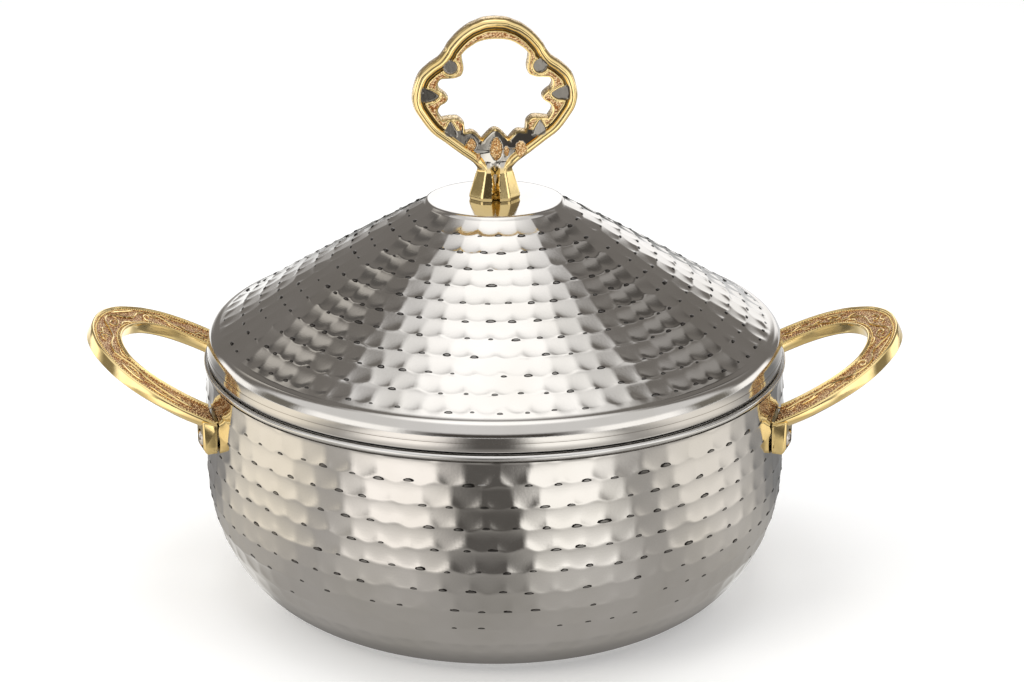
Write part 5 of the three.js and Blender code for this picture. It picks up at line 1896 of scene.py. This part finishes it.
@dataclass
class FillPlug:
    """Rubber plug in a foam filling hole: flange, neck and barb."""

    name: str
    body: str
    node: str
    hole: float
    seat: float

    def build(self, finishes: Finishes) -> None:
        """Turn the plug."""
        neck, flange, barb, z = self.hole - 0.3, self.hole + 2, self.hole + 1.2, self.seat
        outline = [(0, z - 1.1)] + beside(neck, z, (-2, -1.1), (-1.5, -1.3))
        outline += beside(flange, z, (-0.6, -1.3), (-0.2, -1.15), (0, -0.8), (0, -0.45), (-0.2, -0.3))
        outline += beside(neck, z, (0, -0.3), (0, 1.3)) + beside(barb, z, (0, 1.3), (-0.2, 1.6))
        outline += beside(neck, z, (0, 2.8), (-0.4, 2.9)) + [(0, z + 2.9)]
        plug = lathe(self.name, outline, 96)
        shade(plug, 40)
        place_piece(plug, self.body, Slot.RUBBER, finishes, self.node)


@dataclass
class LugScrews:
    """The four handle screws: domed head with a cross slot, and a threaded shank."""

    shank: float = 2.0
    head: float = 3.4
    dome: float = 3.0
    brim: float = 0.5
    tip: float = 113.94
    seat: float = 125.25
    azimuth: float = 20.49
    height: float = 78.5
    pitch: float = 0.7
    slot_width: float = 0.9
    slot_depth: float = 1.1
    slot_share: float = 0.62

    def make_one(self) -> Object:
        """One screw about Z, its head above zero."""
        low, shank, head = self.tip - self.seat, self.shank, self.head
        outline = [(0, low), (shank - 0.5, low), (shank - 0.2, low + 0.6)]
        z = low + 0.9
        while z < -5:
            outline += beside(shank, z, (-0.3, 0), (0, self.pitch / 2))
            z += self.pitch
        outline += [(shank - 0.05, -4.5), (shank - 0.05, 0), (head - 0.1, 0), (head, 0.15)]
        outline += arc((0, self.brim), head, self.dome - self.brim, [0, 12, 25, 40, 55, 70]) + [(0, self.dome)]
        screw = lathe("screw", outline, 32)
        w, h = self.slot_width / 2, head * self.slot_share
        box = [(x, y, z) for z in (self.dome - self.slot_depth, self.dome + 1) for y in (-w, w) for x in (-h, h)]
        faces = [(0, 2, 3, 1), (4, 5, 7, 6), (0, 1, 5, 4), (2, 6, 7, 3), (0, 4, 6, 2), (1, 3, 7, 5)]
        for turn in (0, math.pi / 2):
            tool = new_object("slot", box, faces)
            tool.data.transform(Matrix.Rotation(turn, 4, "Z"))
            boolean(screw, tool, "DIFFERENCE")
        return screw

    def build(self, finishes: Finishes) -> None:
        """Set all four screws as one piece."""
        screw = self.make_one()
        shade(screw, 35)
        carrier = new_object("lug_screw_set", [], [])
        grow(carrier, fixing_tree(), {
            "Screw": screw, "Count": 4, "Azimuth": math.radians(self.azimuth), "Seat Radius": self.seat * MM,
            "Height": self.height * MM, "Spin": 0.9, "Seed": 2, "Finish": finishes[Slot.ZINC],
        })
        remove(screw)
        place_piece(carrier, POT, Slot.ZINC, finishes, *(f"handle_screw_{lug}" for lug in LUGS))


LUGS = ("left_front", "left_back", "right_front", "right_back")
HIDDEN_PIECES = {
    "bowl_insulation": Slot.FOAM, "lid_insulation": Slot.FOAM, "knob_washer": Slot.ZINC, "knob_screw": Slot.ZINC,
    **{f"handle_{kind}_{lug}": Slot.ZINC for kind in ("washer", "nut") for lug in LUGS},
}


def dress_hidden(nodes: dict, finishes: Finishes) -> None:
    """Give the CAD pieces inside the walls their own finishes."""
    for name, kind in HIDDEN_PIECES.items():
        for slot in nodes[name].material_slots:
            slot.material = finishes[kind]
        log.info("%s: CAD piece with the finish %s", name, kind.value)


def main() -> None:
    """Build the studio and every piece, and hand them to the frame."""
    logging.basicConfig(level=logging.INFO, format="%(name)s %(message)s")
    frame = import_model()
    Studio().build()
    finishes = make_finishes()
    layout = row_layout_tree()
    hammer = Hammer(hammer_blow_tree(layout), peak_tree(layout), finishes)
    pot, handles = HammeredPot(), LoopHandle()
    pot.build(hammer, handles.drills())
    HammeredLid().build(hammer)
    InnerBowl().build(finishes)
    LidLiner().build(finishes)
    RingKnob().build(finishes)
    handles.build(pot, finishes)
    LugScrews().build(finishes)
    FillPlug("base_plug", POT, "base_fill_plug", 9.0, 1.6).build(finishes)
    FillPlug("lid_plug", LID, "lid_fill_plug", 7.0, 98.0).build(finishes)
    dress_hidden(frame["nodes"], finishes)


if __name__ == "__main__":
    main()
